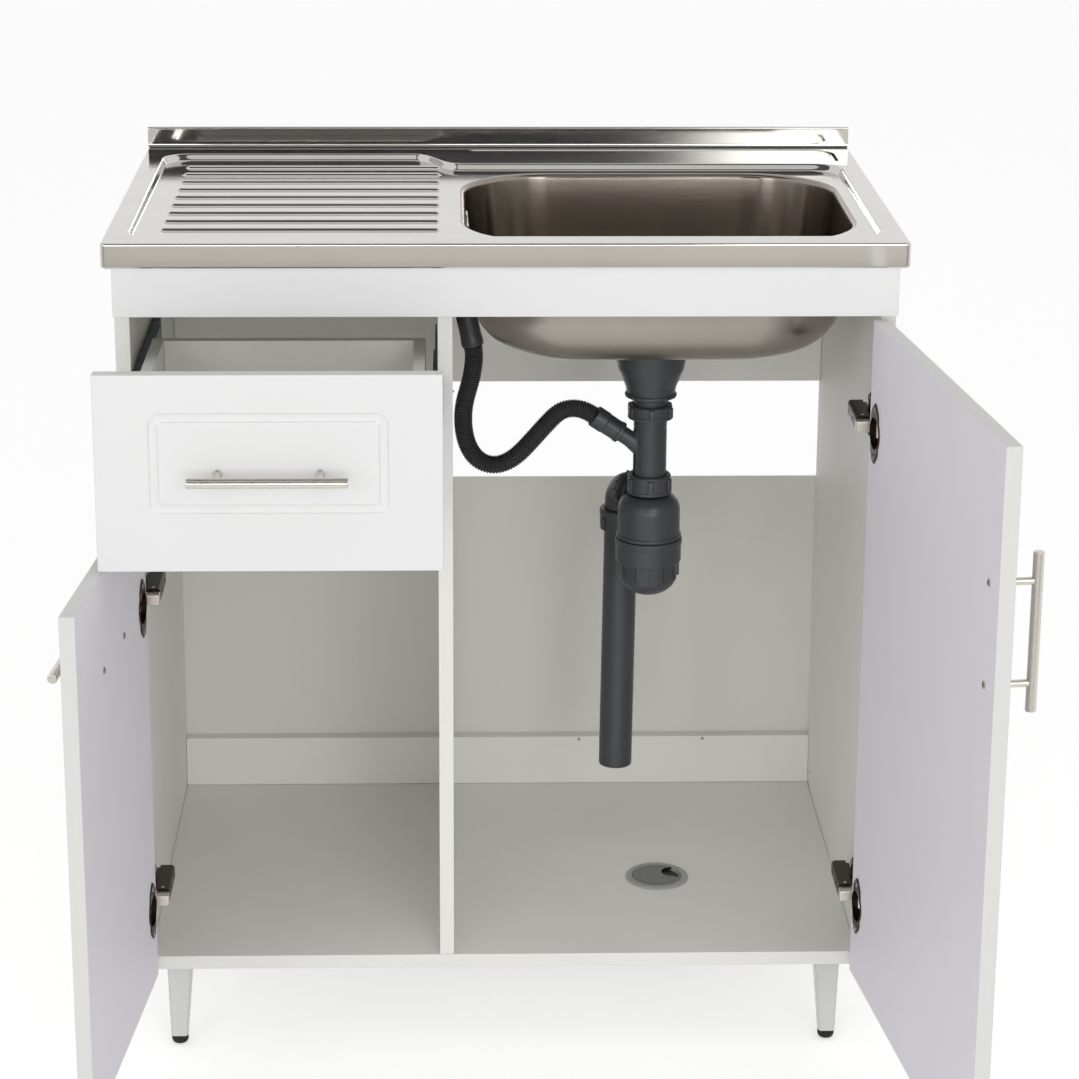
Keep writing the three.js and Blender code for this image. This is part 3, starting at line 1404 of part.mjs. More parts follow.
function drawer() {
  const group = new THREE.Group();
  group.position.y = -DRAWER_PULLED;
  const left = -OUTER_X + FRONT_REVEAL;
  const right = DIVIDER_X - FRONT_GAP / 2;
  group.add(piece("drawer_front", drawerFront(left, right), "front"));
  const handleZ = (FRONT_TOP + DRAWER_FRONT_BOTTOM) / 2;
  const handle = barHandle().translate(
    (left + right) / 2,
    -FRONT_STANDOFF - FRONT_THICKNESS,
    handleZ,
  );
  group.add(piece("handle_drawer", handle, "nickel"));
  const top = FRONT_TOP - DRAWER_DROP;
  const height = [top - DRAWER_HEIGHT, top];
  const start = -FRONT_STANDOFF + CLEARANCE;
  const length = [start, start + DRAWER_LENGTH];
  const outerLeft = -INNER_X + SLIDE_WIDTH;
  const outerRight = DIVIDER_LEFT - SLIDE_WIDTH;
  const innerLeft = outerLeft + DRAWER_SIDE;
  const innerRight = outerRight - DRAWER_SIDE;
  const between = [innerLeft + CLEARANCE, innerRight - CLEARANCE];
  const backY = [length[1] - DRAWER_SIDE, length[1]];
  const leftSide = block([outerLeft, innerLeft], length, height);
  const rightSide = block([innerRight, outerRight], length, height);
  group.add(piece("drawer_side_left", leftSide, "melamine"));
  group.add(piece("drawer_side_right", rightSide, "melamine"));
  group.add(piece("drawer_back", block(between, backY, height), "melamine"));
  const floorZ = top - DRAWER_HEIGHT + DRAWER_BOTTOM_RAISE;
  const floor = block(
    between,
    [start, backY[0] - CLEARANCE],
    [floorZ, floorZ + DRAWER_BOTTOM],
  );
  group.add(piece("drawer_bottom", floor, "hardboard"));
  return group;
}

// ---------------------------------------------------------------- cable grommet
function grommet() {
  const group = new THREE.Group();
  group.position.set(GROMMET_X, GROMMET_Y, FLOOR_Z);
  const outer = GROMMET_DIAMETER / 2;
  const sleeve = GROMMET_HOLE / 2 - CLEARANCE;
  const bore = sleeve - GROMMET_WALL;
  const ledge = bore - GROMMET_WALL;
  const seat = -GROMMET_CAP_THICKNESS + GROMMET_RIM - CLEARANCE;
  const body = turned(
    [
      [bore, -BOARD + 1],
      [sleeve, -BOARD + 1],
      [sleeve, CLEARANCE],
      [outer, CLEARANCE],
      [outer, GROMMET_RIM * 0.6],
      [outer - 1.5, GROMMET_RIM],
      [bore, GROMMET_RIM],
      [bore, seat],
      [ledge, seat],
      [ledge, seat - 1.5],
      [bore, seat - 3],
    ],
    28,
  );
  group.add(piece("grommet_ring", body, "grey"));
  const capRadius = bore - CLEARANCE;
  const cap = upright(2 * capRadius, seat + CLEARANCE, GROMMET_RIM, 28);
  const slot = upright(GROMMET_SLOT, seat - 5, GROMMET_RIM + 5, 20).translate(
    capRadius - GROMMET_SLOT * 0.35,
    0,
    0,
  );
  const tail = upright(GROMMET_SLOT * 0.55, seat - 5, GROMMET_RIM + 5, 16).translate(
    capRadius - GROMMET_SLOT * 0.45,
    GROMMET_SLOT * 0.6,
    0,
  );
  const lid = cut(cap, slot, tail).rotateZ(radians(GROMMET_SLOT_TURN));
  group.add(piece("grommet_cap", lid, "grey"));
  return group;
}

// ---------------------------------------------------------------- the whole unit
function sinkUnit() {
  const unit = new THREE.Group();
  unit.add(carcass());
  unit.add(legs());
  unit.add(piece("sink_top", sinkTop(), "stainless"));
  unit.add(piece("corner_block_left", cornerBlock(-1), "plastic"));
  unit.add(piece("corner_block_right", cornerBlock(1), "plastic"));
  unit.add(wasteAssembly());
  unit.add(overflow());
  unit.add(doors());
  unit.add(slides());
  unit.add(drawer());
  unit.add(grommet());
  return unit;
}

// The origin goes on the floor, under the middle of the box round the whole unit.
const unit = sinkUnit();
unit.updateMatrixWorld(true);
const box = new THREE.Box3().setFromObject(unit, true);
const middle = box.getCenter(new THREE.Vector3());
unit.position.set(-middle.x, -middle.y, -box.min.z);
const root = new THREE.Group();
root.add(unit);

export default root;
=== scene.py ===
# %% [markdown]
# # A kitchen sink unit, standing open
# This is the looks of a sink base unit: a white cabinet with a drawer, two doors and a pressed
# steel sink on top. The measured model comes first, as a fixed frame. Everything built here
# keeps to its places, so that the doors, the drawer and the hinges still move together.

# %% The measured frame
import math

import bmesh
import bpy
import numpy as np
from mathutils import Matrix, Vector
from mathutils.geometry import delaunay_2d_cdt


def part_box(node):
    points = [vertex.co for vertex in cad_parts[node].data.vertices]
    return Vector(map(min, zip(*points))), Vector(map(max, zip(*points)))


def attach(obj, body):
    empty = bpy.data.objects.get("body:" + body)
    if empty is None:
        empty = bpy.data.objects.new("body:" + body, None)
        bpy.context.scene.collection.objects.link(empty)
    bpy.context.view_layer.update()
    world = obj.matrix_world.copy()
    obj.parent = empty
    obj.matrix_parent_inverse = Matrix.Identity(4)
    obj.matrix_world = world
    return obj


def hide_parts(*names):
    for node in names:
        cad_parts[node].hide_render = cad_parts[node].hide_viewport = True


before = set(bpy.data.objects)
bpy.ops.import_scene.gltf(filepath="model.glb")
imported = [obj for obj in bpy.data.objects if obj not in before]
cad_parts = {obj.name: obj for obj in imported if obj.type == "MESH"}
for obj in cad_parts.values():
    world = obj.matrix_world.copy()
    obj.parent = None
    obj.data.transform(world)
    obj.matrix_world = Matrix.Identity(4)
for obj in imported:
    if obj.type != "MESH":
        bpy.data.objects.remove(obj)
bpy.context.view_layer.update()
print(f"{len(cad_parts)} measured pieces")

# %% [markdown]
# ## Drawing sizes
# All sizes below are millimetres in the drawing's own frame: X runs right from the middle of
# the cabinet, Y runs back from the cabinet's front edges and Z runs up from the floor. A drawing
# frame keeps the numbers round, as a joiner would write them. The measured frame has its origin
# under the middle of the whole unit, so one shift carries the drawing over.

# %% Sizes and the shift to the measured frame
MM = 0.001
UP = (0, 0, 1)
CARCASS_WIDTH, BOARD, PANEL_DEPTH, LEG_HEIGHT = 780, 15, 476, 109
OUTER_X = CARCASS_WIDTH / 2
INNER_X = OUTER_X - BOARD
FRONT_Y = -17
DECK, SHEET = 900, 1
SINK_OVERHANG, UPSTAND_BEHIND, RECESS_DEPTH = 10, 7, 7
SINK_HALF = OUTER_X + SINK_OVERHANG
SINK_FRONT, SINK_BACK = FRONT_Y, PANEL_DEPTH + UPSTAND_BEHIND
RECESS_FLOOR = DECK - RECESS_DEPTH
BOWL_X, BOWL_Y, BOWL_LOW = 158.6, 195, 748
BOWL_WIDTH, BOWL_LENGTH = 408, 345
BOWL_LEFT = BOWL_X - BOWL_WIDTH / 2
FRONT_TOP, FRONT_BOTTOM = 821, 109
DRAWER_BOTTOM_EDGE, LEFT_DOOR_TOP = 629, 626
DIVIDER_X = -61.4
DRAWER_OUT = 201
RIGHT_OPEN, LEFT_OPEN = 96.9, -95.4

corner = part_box("side_panel_left")[0]
SHIFT = np.array([corner.x / MM + OUTER_X, corner.y / MM, 0.0])


def to_frame(points):
    return (np.asarray(points, float).reshape(-1, 3) + SHIFT) * MM


print("shift in mm", np.round(SHIFT, 3))

# %% [markdown]
# ## The camera
# The unit is seen from a little left of its middle, from well above the worktop and from almost
# three metres away, through a long lens. A long lens keeps the upright boards nearly parallel.
# A small shift of the film lowers the view, so that the whole unit fits a square picture without
# tilting the camera further.

# %% Camera
CAMERA_AT = (-53.8, -2905.4, 1552.1)
CAMERA_YAW, CAMERA_PITCH, CAMERA_ROLL = 1.721, 16.3, 0.334
CAMERA_LENS, CAMERA_SHIFT, FILM_WIDTH = 100.18, -0.1001, 36
NEAREST, FARTHEST = 0.05, 60


def in_scene(name, data):
    """A new object that holds the data, linked into the scene."""
    obj = bpy.data.objects.new(name, data)
    bpy.context.scene.collection.objects.link(obj)
    return obj


lens = bpy.data.cameras.new("camera")
lens.lens, lens.sensor_width, lens.shift_y = CAMERA_LENS, FILM_WIDTH, CAMERA_SHIFT
lens.clip_start, lens.clip_end = NEAREST, FARTHEST
camera = in_scene("camera", lens)
camera.matrix_world = Matrix.Translation(to_frame(CAMERA_AT)[0])
for axis, degrees in (("Z", -CAMERA_YAW), ("X", 90 - CAMERA_PITCH), ("Z", CAMERA_ROLL)):
    camera.matrix_world = camera.matrix_world @ Matrix.Rotation(math.radians(degrees), 4, axis)
bpy.context.scene.camera = camera
bpy.context.scene.view_settings.view_transform = "Standard"
print("camera at", [round(v, 3) for v in camera.location])

# %% [markdown]
# ## Shapes as plain lists of corners and faces
# Every piece starts as a form: corners in millimetres, faces, and the finish that each face
# has. It could be modelled by hand or with modifiers, but a list of corners is exact, it is easy
# to check and it stays in millimetres until the last moment. A form can be moved, turned, eased
# and cut, and each of these gives a new form.

# %% The form: corners, faces and finishes
FINISHES_AT_MOST = 3


def evaluated_mesh(obj):
    """A new mesh of what the object's modifiers make."""
    return bpy.data.meshes.new_from_object(obj.evaluated_get(bpy.context.evaluated_depsgraph_get()))


class Form:
    def __init__(self, points, faces, kinds=None):
        self.points = np.asarray(points, float).reshape(-1, 3)
        self.faces = [tuple(int(i) for i in face) for face in faces]
        self.kinds = list(kinds) if kinds is not None else [0] * len(self.faces)

    def __add__(self, other):
        step = len(self.points)
        faces = self.faces + [tuple(i + step for i in face) for face in other.faces]
        return Form(np.vstack([self.points, other.points]), faces, self.kinds + other.kinds)

    def moved(self, x=0.0, y=0.0, z=0.0):
        return Form(self.points + np.array([x, y, z]), self.faces, self.kinds)

    def turned(self, axis, degrees):
        spin = np.array(Matrix.Rotation(math.radians(degrees), 3, Vector(axis)))
        return Form(self.points @ spin.T, self.faces, self.kinds)

    def aimed(self, start, direction):
        """Lays the form's Z axis along a direction, from a starting point."""
        spin = np.array(Vector(direction).to_track_quat("Z", "Y").to_matrix())
        return Form(self.points @ spin.T + np.asarray(start, float), self.faces, self.kinds)

    def placed(self, place, inside_out=False):
        """The form with place(x, y, z) for every corner, and its faces reversed if asked."""
        faces = [face[::-1] for face in self.faces] if inside_out else self.faces
        return Form([place(*p) for p in self.points], faces, self.kinds)

    def kind(self, number):
        return Form(self.points, self.faces, [number] * len(self.faces))

    def painted(self, choose):
        """Gives each face the finish that choose(middle, normal) returns."""
        mesh = self.bmesh()
        kinds = [choose(np.array(f.calc_center_median()), np.array(f.normal)) for f in mesh.faces]
        mesh.free()
        return Form(self.points, self.faces, kinds)

    def bmesh(self):
        mesh = bmesh.new()
        corners = [mesh.verts.new(p) for p in self.points]
        for face, kind in zip(self.faces, self.kinds):
            mesh.faces.new([corners[i] for i in face]).material_index = kind
        mesh.normal_update()
        mesh.verts.index_update()
        mesh.faces.ensure_lookup_table()
        return mesh

    @staticmethod
    def of(mesh):
        mesh.verts.index_update()
        points = [tuple(v.co) for v in mesh.verts]
        faces = [[v.index for v in f.verts] for f in mesh.faces]
        kinds = [f.material_index for f in mesh.faces]
        mesh.free()
        return Form(points, faces, kinds)

    def eased(self, width, steps=2, sharper_than=30):
        """Rounds every edge sharper than an angle, as sanding or a die's radius does."""
        mesh = self.bmesh()
        bmesh.ops.remove_doubles(mesh, verts=mesh.verts, dist=1e-4)
        limit = math.radians(sharper_than)
        edges = [e for e in mesh.edges if len(e.link_faces) == 2 and e.calc_face_angle(0) > limit]
        bmesh.ops.bevel(
            mesh, geom=edges, offset=width, segments=steps, profile=0.5, affect="EDGES",
            clamp_overlap=True,
        )
        return Form.of(mesh)

    def combined(self, other, operation):
        """The form with another one cut out of it, or joined on."""
        pair = []
        for form in (self, other):
            mesh = bpy.data.meshes.new("work")
            mesh.from_pydata(form.points.tolist(), [], form.faces)
            mesh.polygons.foreach_set("material_index", form.kinds)
            for _ in range(FINISHES_AT_MOST):
                mesh.materials.append(None)
            pair.append(in_scene("work", mesh))
        step = pair[0].modifiers.new("combine", "BOOLEAN")
        step.operation, step.solver, step.object = operation, "EXACT", pair[1]
        result = evaluated_mesh(pair[0])
        mesh = bmesh.new()
        mesh.from_mesh(result)
        for obj in pair:
            used = obj.data
            bpy.data.objects.remove(obj)
            bpy.data.meshes.remove(used)
        bpy.data.meshes.remove(result)
        return Form.of(mesh)

    def cut(self, other):
        return self.combined(other, "DIFFERENCE")

    def joined(self, other):
        return self.combined(other, "UNION")


print("a form offers", ", ".join(word for word in vars(Form) if not word.startswith("_")))

# %% [markdown]
# ## From a form to a finished piece
# A piece is one object at the origin, with its place in its corners. It rides on a moving body
# of the measured model, stands for one measured piece and takes its finishes from a list. Doing
# this in one function keeps every piece honest in the same way.

# %% Piece, and the same for a copy of a measured piece


def joined_mesh(name, form, place, weld=1e-4):
    """A mesh of the form, with corners that meet made one and each put in its place."""
    mesh = bpy.data.meshes.new(name)
    work = form.bmesh()
    bmesh.ops.remove_doubles(work, verts=work.verts, dist=weld)
    for corner_point in work.verts:
        corner_point.co = place(corner_point.co)
    work.to_mesh(mesh)
    work.free()
    return mesh


def mounted(name, mesh, body, smooth=35):
    """An object of the mesh, smooth up to an angle, that rides on a moving body."""
    mesh.shade_smooth()
    mesh.set_sharp_from_angle(angle=math.radians(smooth))
    obj = in_scene(name, mesh)
    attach(obj, body)
    print(f"{name}: {len(mesh.polygons)} faces on {body}")
    return obj


def keep_flats_flat(obj):
    """Lets large faces rule the shading, so that a flat beside a bend mirrors like a flat."""
    modifier = obj.modifiers.new("normals", "WEIGHTED_NORMAL")
    modifier.mode, modifier.weight, modifier.keep_sharp = "FACE_AREA", 90, True
    shaded = evaluated_mesh(obj)
    obj.modifiers.remove(modifier)
    rough, obj.data = obj.data, shaded
    shaded.name = obj.name
    bpy.data.meshes.remove(rough)


def piece(name, form, materials, body="cabinet", node=None, slot=None, smooth=35, weld=1e-4):
    mesh = joined_mesh(name, form, lambda p: to_frame(p)[0], weld)
    for material in materials:
        mesh.materials.append(material)
    obj = mounted(name, mesh, body, smooth)
    keep_flats_flat(obj)
    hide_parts(node)
    return obj


def measured(node):
    """A copy of a measured piece as a form in drawing millimetres, with flat faces merged."""
    mesh = bmesh.new()
    mesh.from_mesh(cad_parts[node].data)
    bmesh.ops.remove_doubles(mesh, verts=mesh.verts, dist=1e-6)
    flat = math.radians(1)
    bmesh.ops.dissolve_limit(mesh, angle_limit=flat, verts=mesh.verts, edges=mesh.edges)
    for corner_point in mesh.verts:
        corner_point.co = np.array(corner_point.co) / MM - SHIFT
    for face in mesh.faces:
        face.material_index = 0
    mesh.normal_update()
    return Form.of(mesh)

# %% [markdown]
# ## Tubes
# The hose, the bent cuff, the outlet's elbow and the sink's rolled hem are all round tubes along
# a line. A curve with a bevel would make them too, but a list of rings, each with its own
# radius, also makes ribs, and beads at a tube's mouth.

# %% Circles and tubes


def circle(radius, steps, start=0.0):
    turns = start + np.arange(steps) / steps * 2 * math.pi
    return np.column_stack([radius * np.cos(turns), radius * np.sin(turns)])


def swept(path, radii, sides=32, sideways=(0, 1, 0), bore=None):
    """A round tube along a path in one plane, open through its bore or closed at both ends."""
    path = np.asarray(path, float)
    ahead = np.gradient(path, axis=0)
    ahead /= np.linalg.norm(ahead, axis=1)[:, None]
    side = np.asarray(sideways, float)
    turns = circle(1.0, sides)
    points, faces = [], []

    def add_rings(sizes):
        first = len(points)
        for centre, direction, size in zip(path, ahead, sizes):
            normal = np.cross(side, direction)
            points.extend(centre + size * (c * normal + s * side) for c, s in turns)
        return first

    def add_band(low, high):
        for i in range(sides):
            j = (i + 1) % sides
            faces.append((low + i, low + j, high + j, high + i))

    count = len(path)
    outside = add_rings(np.broadcast_to(radii, count))
    for k in range(count - 1):
        add_band(outside + k * sides, outside + (k + 1) * sides)
    if bore is None:
        faces.append(tuple(range(sides))[::-1])
        faces.append(tuple(range(outside + (count - 1) * sides, outside + count * sides)))
    else:
        inside = add_rings(np.broadcast_to(bore, count))
        for k in range(count - 1):
            add_band(inside + (k + 1) * sides, inside + k * sides)
        add_band(inside, outside)
        add_band(outside + (count - 1) * sides, inside + (count - 1) * sides)
    return Form(points, faces)


print(len(swept([(0, 0, 0), (0, 0, 1)], 1, bore=0.5).faces), "faces on the shortest open tube")

# %% [markdown]
# ## The overflow hose
# The bowl's overflow drains through a ribbed hose that swings down beside the divider, turns
# up again and meets a branch on the tailpipe. It could be a curve with a bevel and a bumpy
# finish, but its ribs show against the light, so they are real rings. The middle line follows
# the chosen points of the measured model's route. It is then averaged over its neighbours, as a
# springy hose evens out its bends, and its two ends keep their places in the cuffs.

# %% The hose's route and the ribbed tube
HOSE_DIAMETER, HOSE_BORE, RIB_DEPTH, RIB_PITCH, STEPS_A_RIB = 20, 14, 1.3, 2.6, 8
EVENED_OVER = 8
OVERFLOW_LEAN = math.atan(0.1)
OUTWARD = np.array([-math.cos(OVERFLOW_LEAN), 0, -math.sin(OVERFLOW_LEAN)])
DOWNWARD = np.array([math.sin(OVERFLOW_LEAN), 0, -math.cos(OVERFLOW_LEAN)])
SEAT = np.array([BOWL_LEFT + 5.6, BOWL_Y, RECESS_FLOOR - 21])
CUFF_START = SEAT + 15 * OUTWARD + 24.3 * DOWNWARD
CUFF_END = CUFF_START + np.array([20, 0, -105])
LEAVING = np.array([math.sin(math.radians(11)), 0, -math.cos(math.radians(11))])
BRANCH_RISE = np.array([-math.cos(math.radians(34)), 0, math.sin(math.radians(34))])
BRANCH_ROOT = np.array([BOWL_X, BOWL_Y, 622])
HOSE_ACROSS_AND_UP = [
    (-193.1, -46), (-199.6, -68), (-201.6, -91), (-197.2, -117), (-185.6, -135),
    (-166.9, -141.2), (-146.2, -132.2), (-128.7, -114), (-111.2, -94), (-94.6, -78),
]


def evenly(line, spacing):
    """The line again at an even spacing, and its length."""
    along = np.r_[0, np.cumsum(np.linalg.norm(np.diff(line, axis=0), axis=1))]
    even = np.linspace(0, along[-1], int(round(along[-1] / spacing)) + 1)
    return np.column_stack([np.interp(even, along, line[:, k]) for k in range(3)]), along[-1]


def smooth_through(points):
    """A centripetal Catmull-Rom line through points, in steps of about 1 mm."""
    points = [np.asarray(p, float) for p in points]
    points = [2 * points[0] - points[1]] + points + [2 * points[-1] - points[-2]]
    line = []
    for p0, p1, p2, p3 in zip(points, points[1:], points[2:], points[3:]):
        t1 = np.linalg.norm(p1 - p0) ** 0.5
        t2 = t1 + np.linalg.norm(p2 - p1) ** 0.5
        t3 = t2 + np.linalg.norm(p3 - p2) ** 0.5
        for t in np.linspace(t1, t2, 40, endpoint=False):
            a1 = p0 * (t1 - t) / t1 + p1 * t / t1
            a2 = p1 * (t2 - t) / (t2 - t1) + p2 * (t - t1) / (t2 - t1)
            a3 = p2 * (t3 - t) / (t3 - t2) + p3 * (t - t2) / (t3 - t2)
            b1 = a1 * (t2 - t) / t2 + a2 * t / t2
            b2 = a2 * (t3 - t) / (t3 - t1) + a3 * (t - t1) / (t3 - t1)
            line.append(b1 * (t2 - t) / (t2 - t1) + b2 * (t - t1) / (t2 - t1))
    return evenly(np.array(line + [points[-2]]), 1)[0]


def evened(line, reach, spacing):
    """Averages a line of 1 mm steps, with its ends drawn out straight so that they stay."""
    margin = np.arange(3 * reach, 0, -1)[:, None]
    before = line[0] - margin * (line[1] - line[0])
    after = line[-1] + margin[::-1] * (line[-1] - line[-2])
    weights = np.exp(-0.5 * (np.arange(-3 * reach, 3 * reach + 1) / reach) ** 2)
    drawn = np.vstack([before, line, after]).T
    soft = np.column_stack([np.convolve(way, weights / weights.sum(), "valid") for way in drawn])
    soft[0], soft[-1] = line[0], line[-1]
    return evenly(soft, spacing)


hose_start = CUFF_END + 0.3 * LEAVING
hose_points = [hose_start + run * LEAVING for run in (0, 8, 10)]
hose_points += [(BOWL_X + x, BOWL_Y, BOWL_LOW + z) for x, z in HOSE_ACROSS_AND_UP]
hose_points += [BRANCH_ROOT + run * BRANCH_RISE for run in (86.3, 84.3, 73.3)]
hose_line, hose_length = evened(smooth_through(hose_points), EVENED_OVER, RIB_PITCH / STEPS_A_RIB)
place_in_rib = np.arange(len(hose_line)) / STEPS_A_RIB % 1
crest = 0.5 + 0.5 * np.cos(2 * math.pi * place_in_rib)
hose_radii = HOSE_DIAMETER / 2 - RIB_DEPTH * (1 - crest**0.6)
hose_radii[0] = hose_radii[-1] = HOSE_DIAMETER / 2 - RIB_DEPTH
hose_form = swept(hose_line, hose_radii, sides=28, bore=HOSE_BORE / 2)
hose = piece("overflow_hose_ribbed", hose_form, [], node="overflow_hose", slot="dark_plastic")
print(f"the hose is {hose_length:.1f} mm long")

# %% [markdown]
# ## Finishes
# Each finish is a small node material. Colours are written as screen colours, the way one
# reads them from a paint card, and one function turns them into the linear light the renderer
# works with. Patterns are set in millimetres on the object's own coordinates, so a grain stays
# the same size on a small piece as on a large one.

# %% Colour and node helpers


def linear(screen_colour):
    """A screen colour such as #EEEEEE as linear red, green, blue and a full alpha."""
    values = [int(screen_colour[i : i + 2], 16) / 255 for i in (1, 3, 5)]
    return [v / 12.92 if v <= 0.04045 else ((v + 0.055) / 1.055) ** 2.4 for v in values] + [1.0]


def put(tree, kind, settings={}, links={}, values={}):
    """Adds a node with its settings, its values and the sockets that feed it."""
    node = tree.nodes.new(kind)
    for name, value in settings.items():
        setattr(node, name, value)
    for name, value in values.items():
        node.inputs[name].default_value = value
    for name, source in links.items():
        tree.links.new(source, node.inputs[name])
    return node


def start_finish(name, colour, roughness, **more):
    """A new material with one surface shader. More values go straight to the shader's inputs."""
    material = bpy.data.materials.new(name)
    material.use_nodes = True
    tree = material.node_tree
    tree.nodes.clear()
    values = {"Base Color": linear(colour), "Roughness": roughness, **more}
    shader = put(tree, "ShaderNodeBsdfPrincipled", values=values)
    put(tree, "ShaderNodeOutputMaterial", links={"Surface": shader.outputs[0]})
    return material, tree, shader


print("screen white is", linear("#FFFFFF")[:3], "and #808080 is", round(linear("#808080")[0], 3))

# %% [markdown]
# ### One surface with a grain
# A real surface is never one even value. It has a fine grain that breaks its highlight, and often
# a slow change of tint. A picture could show both, but noise made in the renderer stays sharp up
# close and has no seams. One function makes every finish from the same three effects.

# %% The surface that all finishes share


def surfaced(name, colour, shade, roughness, grain, rough=None, relief=None, cloud=None,
             stretch=(1, 1, 1), **more):
    """A finish whose tint, roughness and fine relief wander.

    grain and cloud give a noise's size in mm, its detail and its own roughness. rough is the
    range of the shine over a noise of about 0.3 to 0.7, relief a height in mm and a strength.
    Without a cloud the grain tints. A stretch draws the grain out along one or two ways."""
    material, tree, shader = start_finish(name, colour, roughness, **more)
    place = put(tree, "ShaderNodeTexCoord").outputs["Object"]
    waves = []
    for way, pattern in ((stretch, grain), ((1, 1, 1), cloud)):
        if pattern:
            size, detail, uneven = (*pattern, 0.5)[:3]
            scale = {"Scale": tuple(1000 / s for s in way)}
            laid = put(tree, "ShaderNodeMapping", {}, {"Vector": place}, scale).outputs[0]
            values = {"Scale": 1 / size, "Detail": detail, "Roughness": uneven}
            waves.append(put(tree, "ShaderNodeTexNoise", {}, {"Vector": laid}, values).outputs[0])
    fine, slow = waves[0], waves[-1]
    effects = {}
    if shade:
        values = {6: linear(colour), 7: linear(shade)}
        mixed = put(tree, "ShaderNodeMix", {"data_type": "RGBA"}, {0: slow}, values)
        effects["Base Color"] = mixed.outputs[2]
    if rough:
        values = {"From Min": 0.3, "From Max": 0.7, "To Min": rough[0], "To Max": rough[1]}
        effects["Roughness"] = put(tree, "ShaderNodeMapRange", {}, {"Value": fine}, values).outputs[0]
    if relief:
        values = {"Strength": relief[1], "Distance": relief[0] * MM}
        effects["Normal"] = put(tree, "ShaderNodeBump", {}, {"Height": fine}, values).outputs[0]
    for socket, source in effects.items():
        tree.links.new(source, shader.inputs[socket])
    print("finish", name)
    return material

# %% [markdown]
# ### White board
# The cabinet is white-faced chipboard. Inside it is a pressed melamine film with a fine pearl
# texture that blurs the highlights. The fronts have a smoother roller-coated lacquer, with only a
# faint ripple in its reflections. The cut edges wear a thin plastic banding that is a little
# warmer, and the back is lacquered hardboard, matt and flecked with fibres. Close whites of
# different shine tell the eye that these are different surfaces, where one flat white would
# read as plastic.

# %% Board finishes


def pressed_melamine(name, colour, shade):
    return surfaced(
        name, colour, shade, 0.5, (0.55, 2), (0.42, 0.58), (0.03, 0.35), (90, 2),
        **{"Specular IOR Level": 0.45},
    )


def coated_lacquer(name, colour, shade):
    return surfaced(
        name, colour, shade, 0.28, (1.6, 2), None, (0.02, 0.25), (140, 2),
        **{"Coat Weight": 0.35, "Coat Roughness": 0.12},
    )


def extruded_banding(name, colour):
    return surfaced(name, colour, None, 0.34, (0.8, 2), (0.3, 0.4), (0.01, 0.3))


MELAMINE = pressed_melamine("melamine_pressed_inside_white", "#F3F2ED", "#EEEDE8")
DOOR_INSIDE = pressed_melamine("melamine_pressed_door_white", "#F4F1F9", "#F0EDF5")
FRONT = coated_lacquer("lacquer_roller_coated_white", "#EBEBEB", "#E7E7E7")
# The legs' white is darker than the fronts' as painted shade under the cabinet.
LEG_LACQUER_SHADED = coated_lacquer("lacquer_sprayed_leg_white", "#DADAD9", "#D3D3D2")
BANDING = extruded_banding("abs_extruded_banding_white", "#EBEBE6")
FRONT_BANDING = extruded_banding("abs_extruded_banding_front", "#DCDCD9")
HARDBOARD = surfaced(
    "hardboard_lacquered_white", "#EBEBE5", "#E3E3DD", 0.62, (1.1, 4, 0.65), None, (0.05, 0.4),
    stretch=(3, 1, 1),
)
BOARD_SET = [MELAMINE, BANDING]

# %% [markdown]
# ### Steel and plated metals
# The deck is bright annealed stainless sheet, which mirrors almost cleanly. The deep-drawn bowl
# is duller, scoured inside and satin outside, and its darker colour is painted shade: darkest
# inside the bowl's hollow, lighter outside, where it hangs under the deck.
# Plated parts differ by their tint: chrome is cold, nickel is warm, the hinges are a dark nickel
# and the drawer runners have the blue-green of passivated zinc. On metal the roughness carries
# the look, so every finish varies it in streaks that run along the brushing.

# %% Metal finishes


def drawn_metal(name, colour, shade, roughness, spread, stretch, size, relief=None):
    return surfaced(
        name, colour, shade, roughness, (size, 3, 0.6), (roughness - spread, roughness + spread),
        relief and (relief, 0.5), (70, 2), stretch, Metallic=1.0,
    )


def brushed_nickel(way, stretch):
    """A handle's satin nickel, with its brushing along one way."""
    name = f"nickel_brushed_along_{way}"
    return drawn_metal(name, "#D6D2CA", "#CBC7BE", 0.3, 0.07, stretch, 0.35, 0.006)


def bowl_steel(name, colour, shade, roughness, spread):
    return drawn_metal(name, colour, shade, roughness, spread, (60, 60, 1), 0.5, 0.002)


STEEL = drawn_metal(
    "stainless_bright_annealed", "#CCCAC6", "#C2C0BC", 0.1, 0.02, (40, 1, 1), 0.9, 0.002
)
# The bowl's steels are darker than the deck's as painted shade: inside for the hollow, outside for
# the space under the deck.
BOWL_OUTSIDE_SHADED = bowl_steel("stainless_deep_drawn_satin", "#ACA59D", "#9A948C", 0.34, 0.04)
BOWL_INSIDE_SHADED = bowl_steel("stainless_deep_drawn_scoured", "#958E86", "#837C74", 0.18, 0.03)
CHROME = drawn_metal("chrome_plated_bright", "#E2E4E6", "#DADCDE", 0.07, 0.02, (1, 1, 1), 6)
NICKEL_X = brushed_nickel("x", (30, 1, 1))
NICKEL_Y = brushed_nickel("y", (1, 30, 1))
NICKEL_Z = brushed_nickel("z", (1, 1, 30))
HINGE = drawn_metal(
    "steel_pressed_dark_nickel", "#463C34", "#352C26", 0.36, 0.06, (1, 1, 8), 0.8, 0.01
)
LINK = drawn_metal(
    "steel_pressed_bright_nickel", "#D8D2CA", "#C8C2B8", 0.3, 0.05, (1, 8, 1), 0.8, 0.01
)
ZINC = drawn_metal(
    "steel_rolled_blue_zinc", "#5B7476", "#47605F", 0.36, 0.08, (1, 20, 1), 0.7, 0.01
)
SCREW = drawn_metal("steel_headed_zinc_screw", "#A9A79F", "#8F8D86", 0.3, 0.06, (1, 1, 1), 0.6)

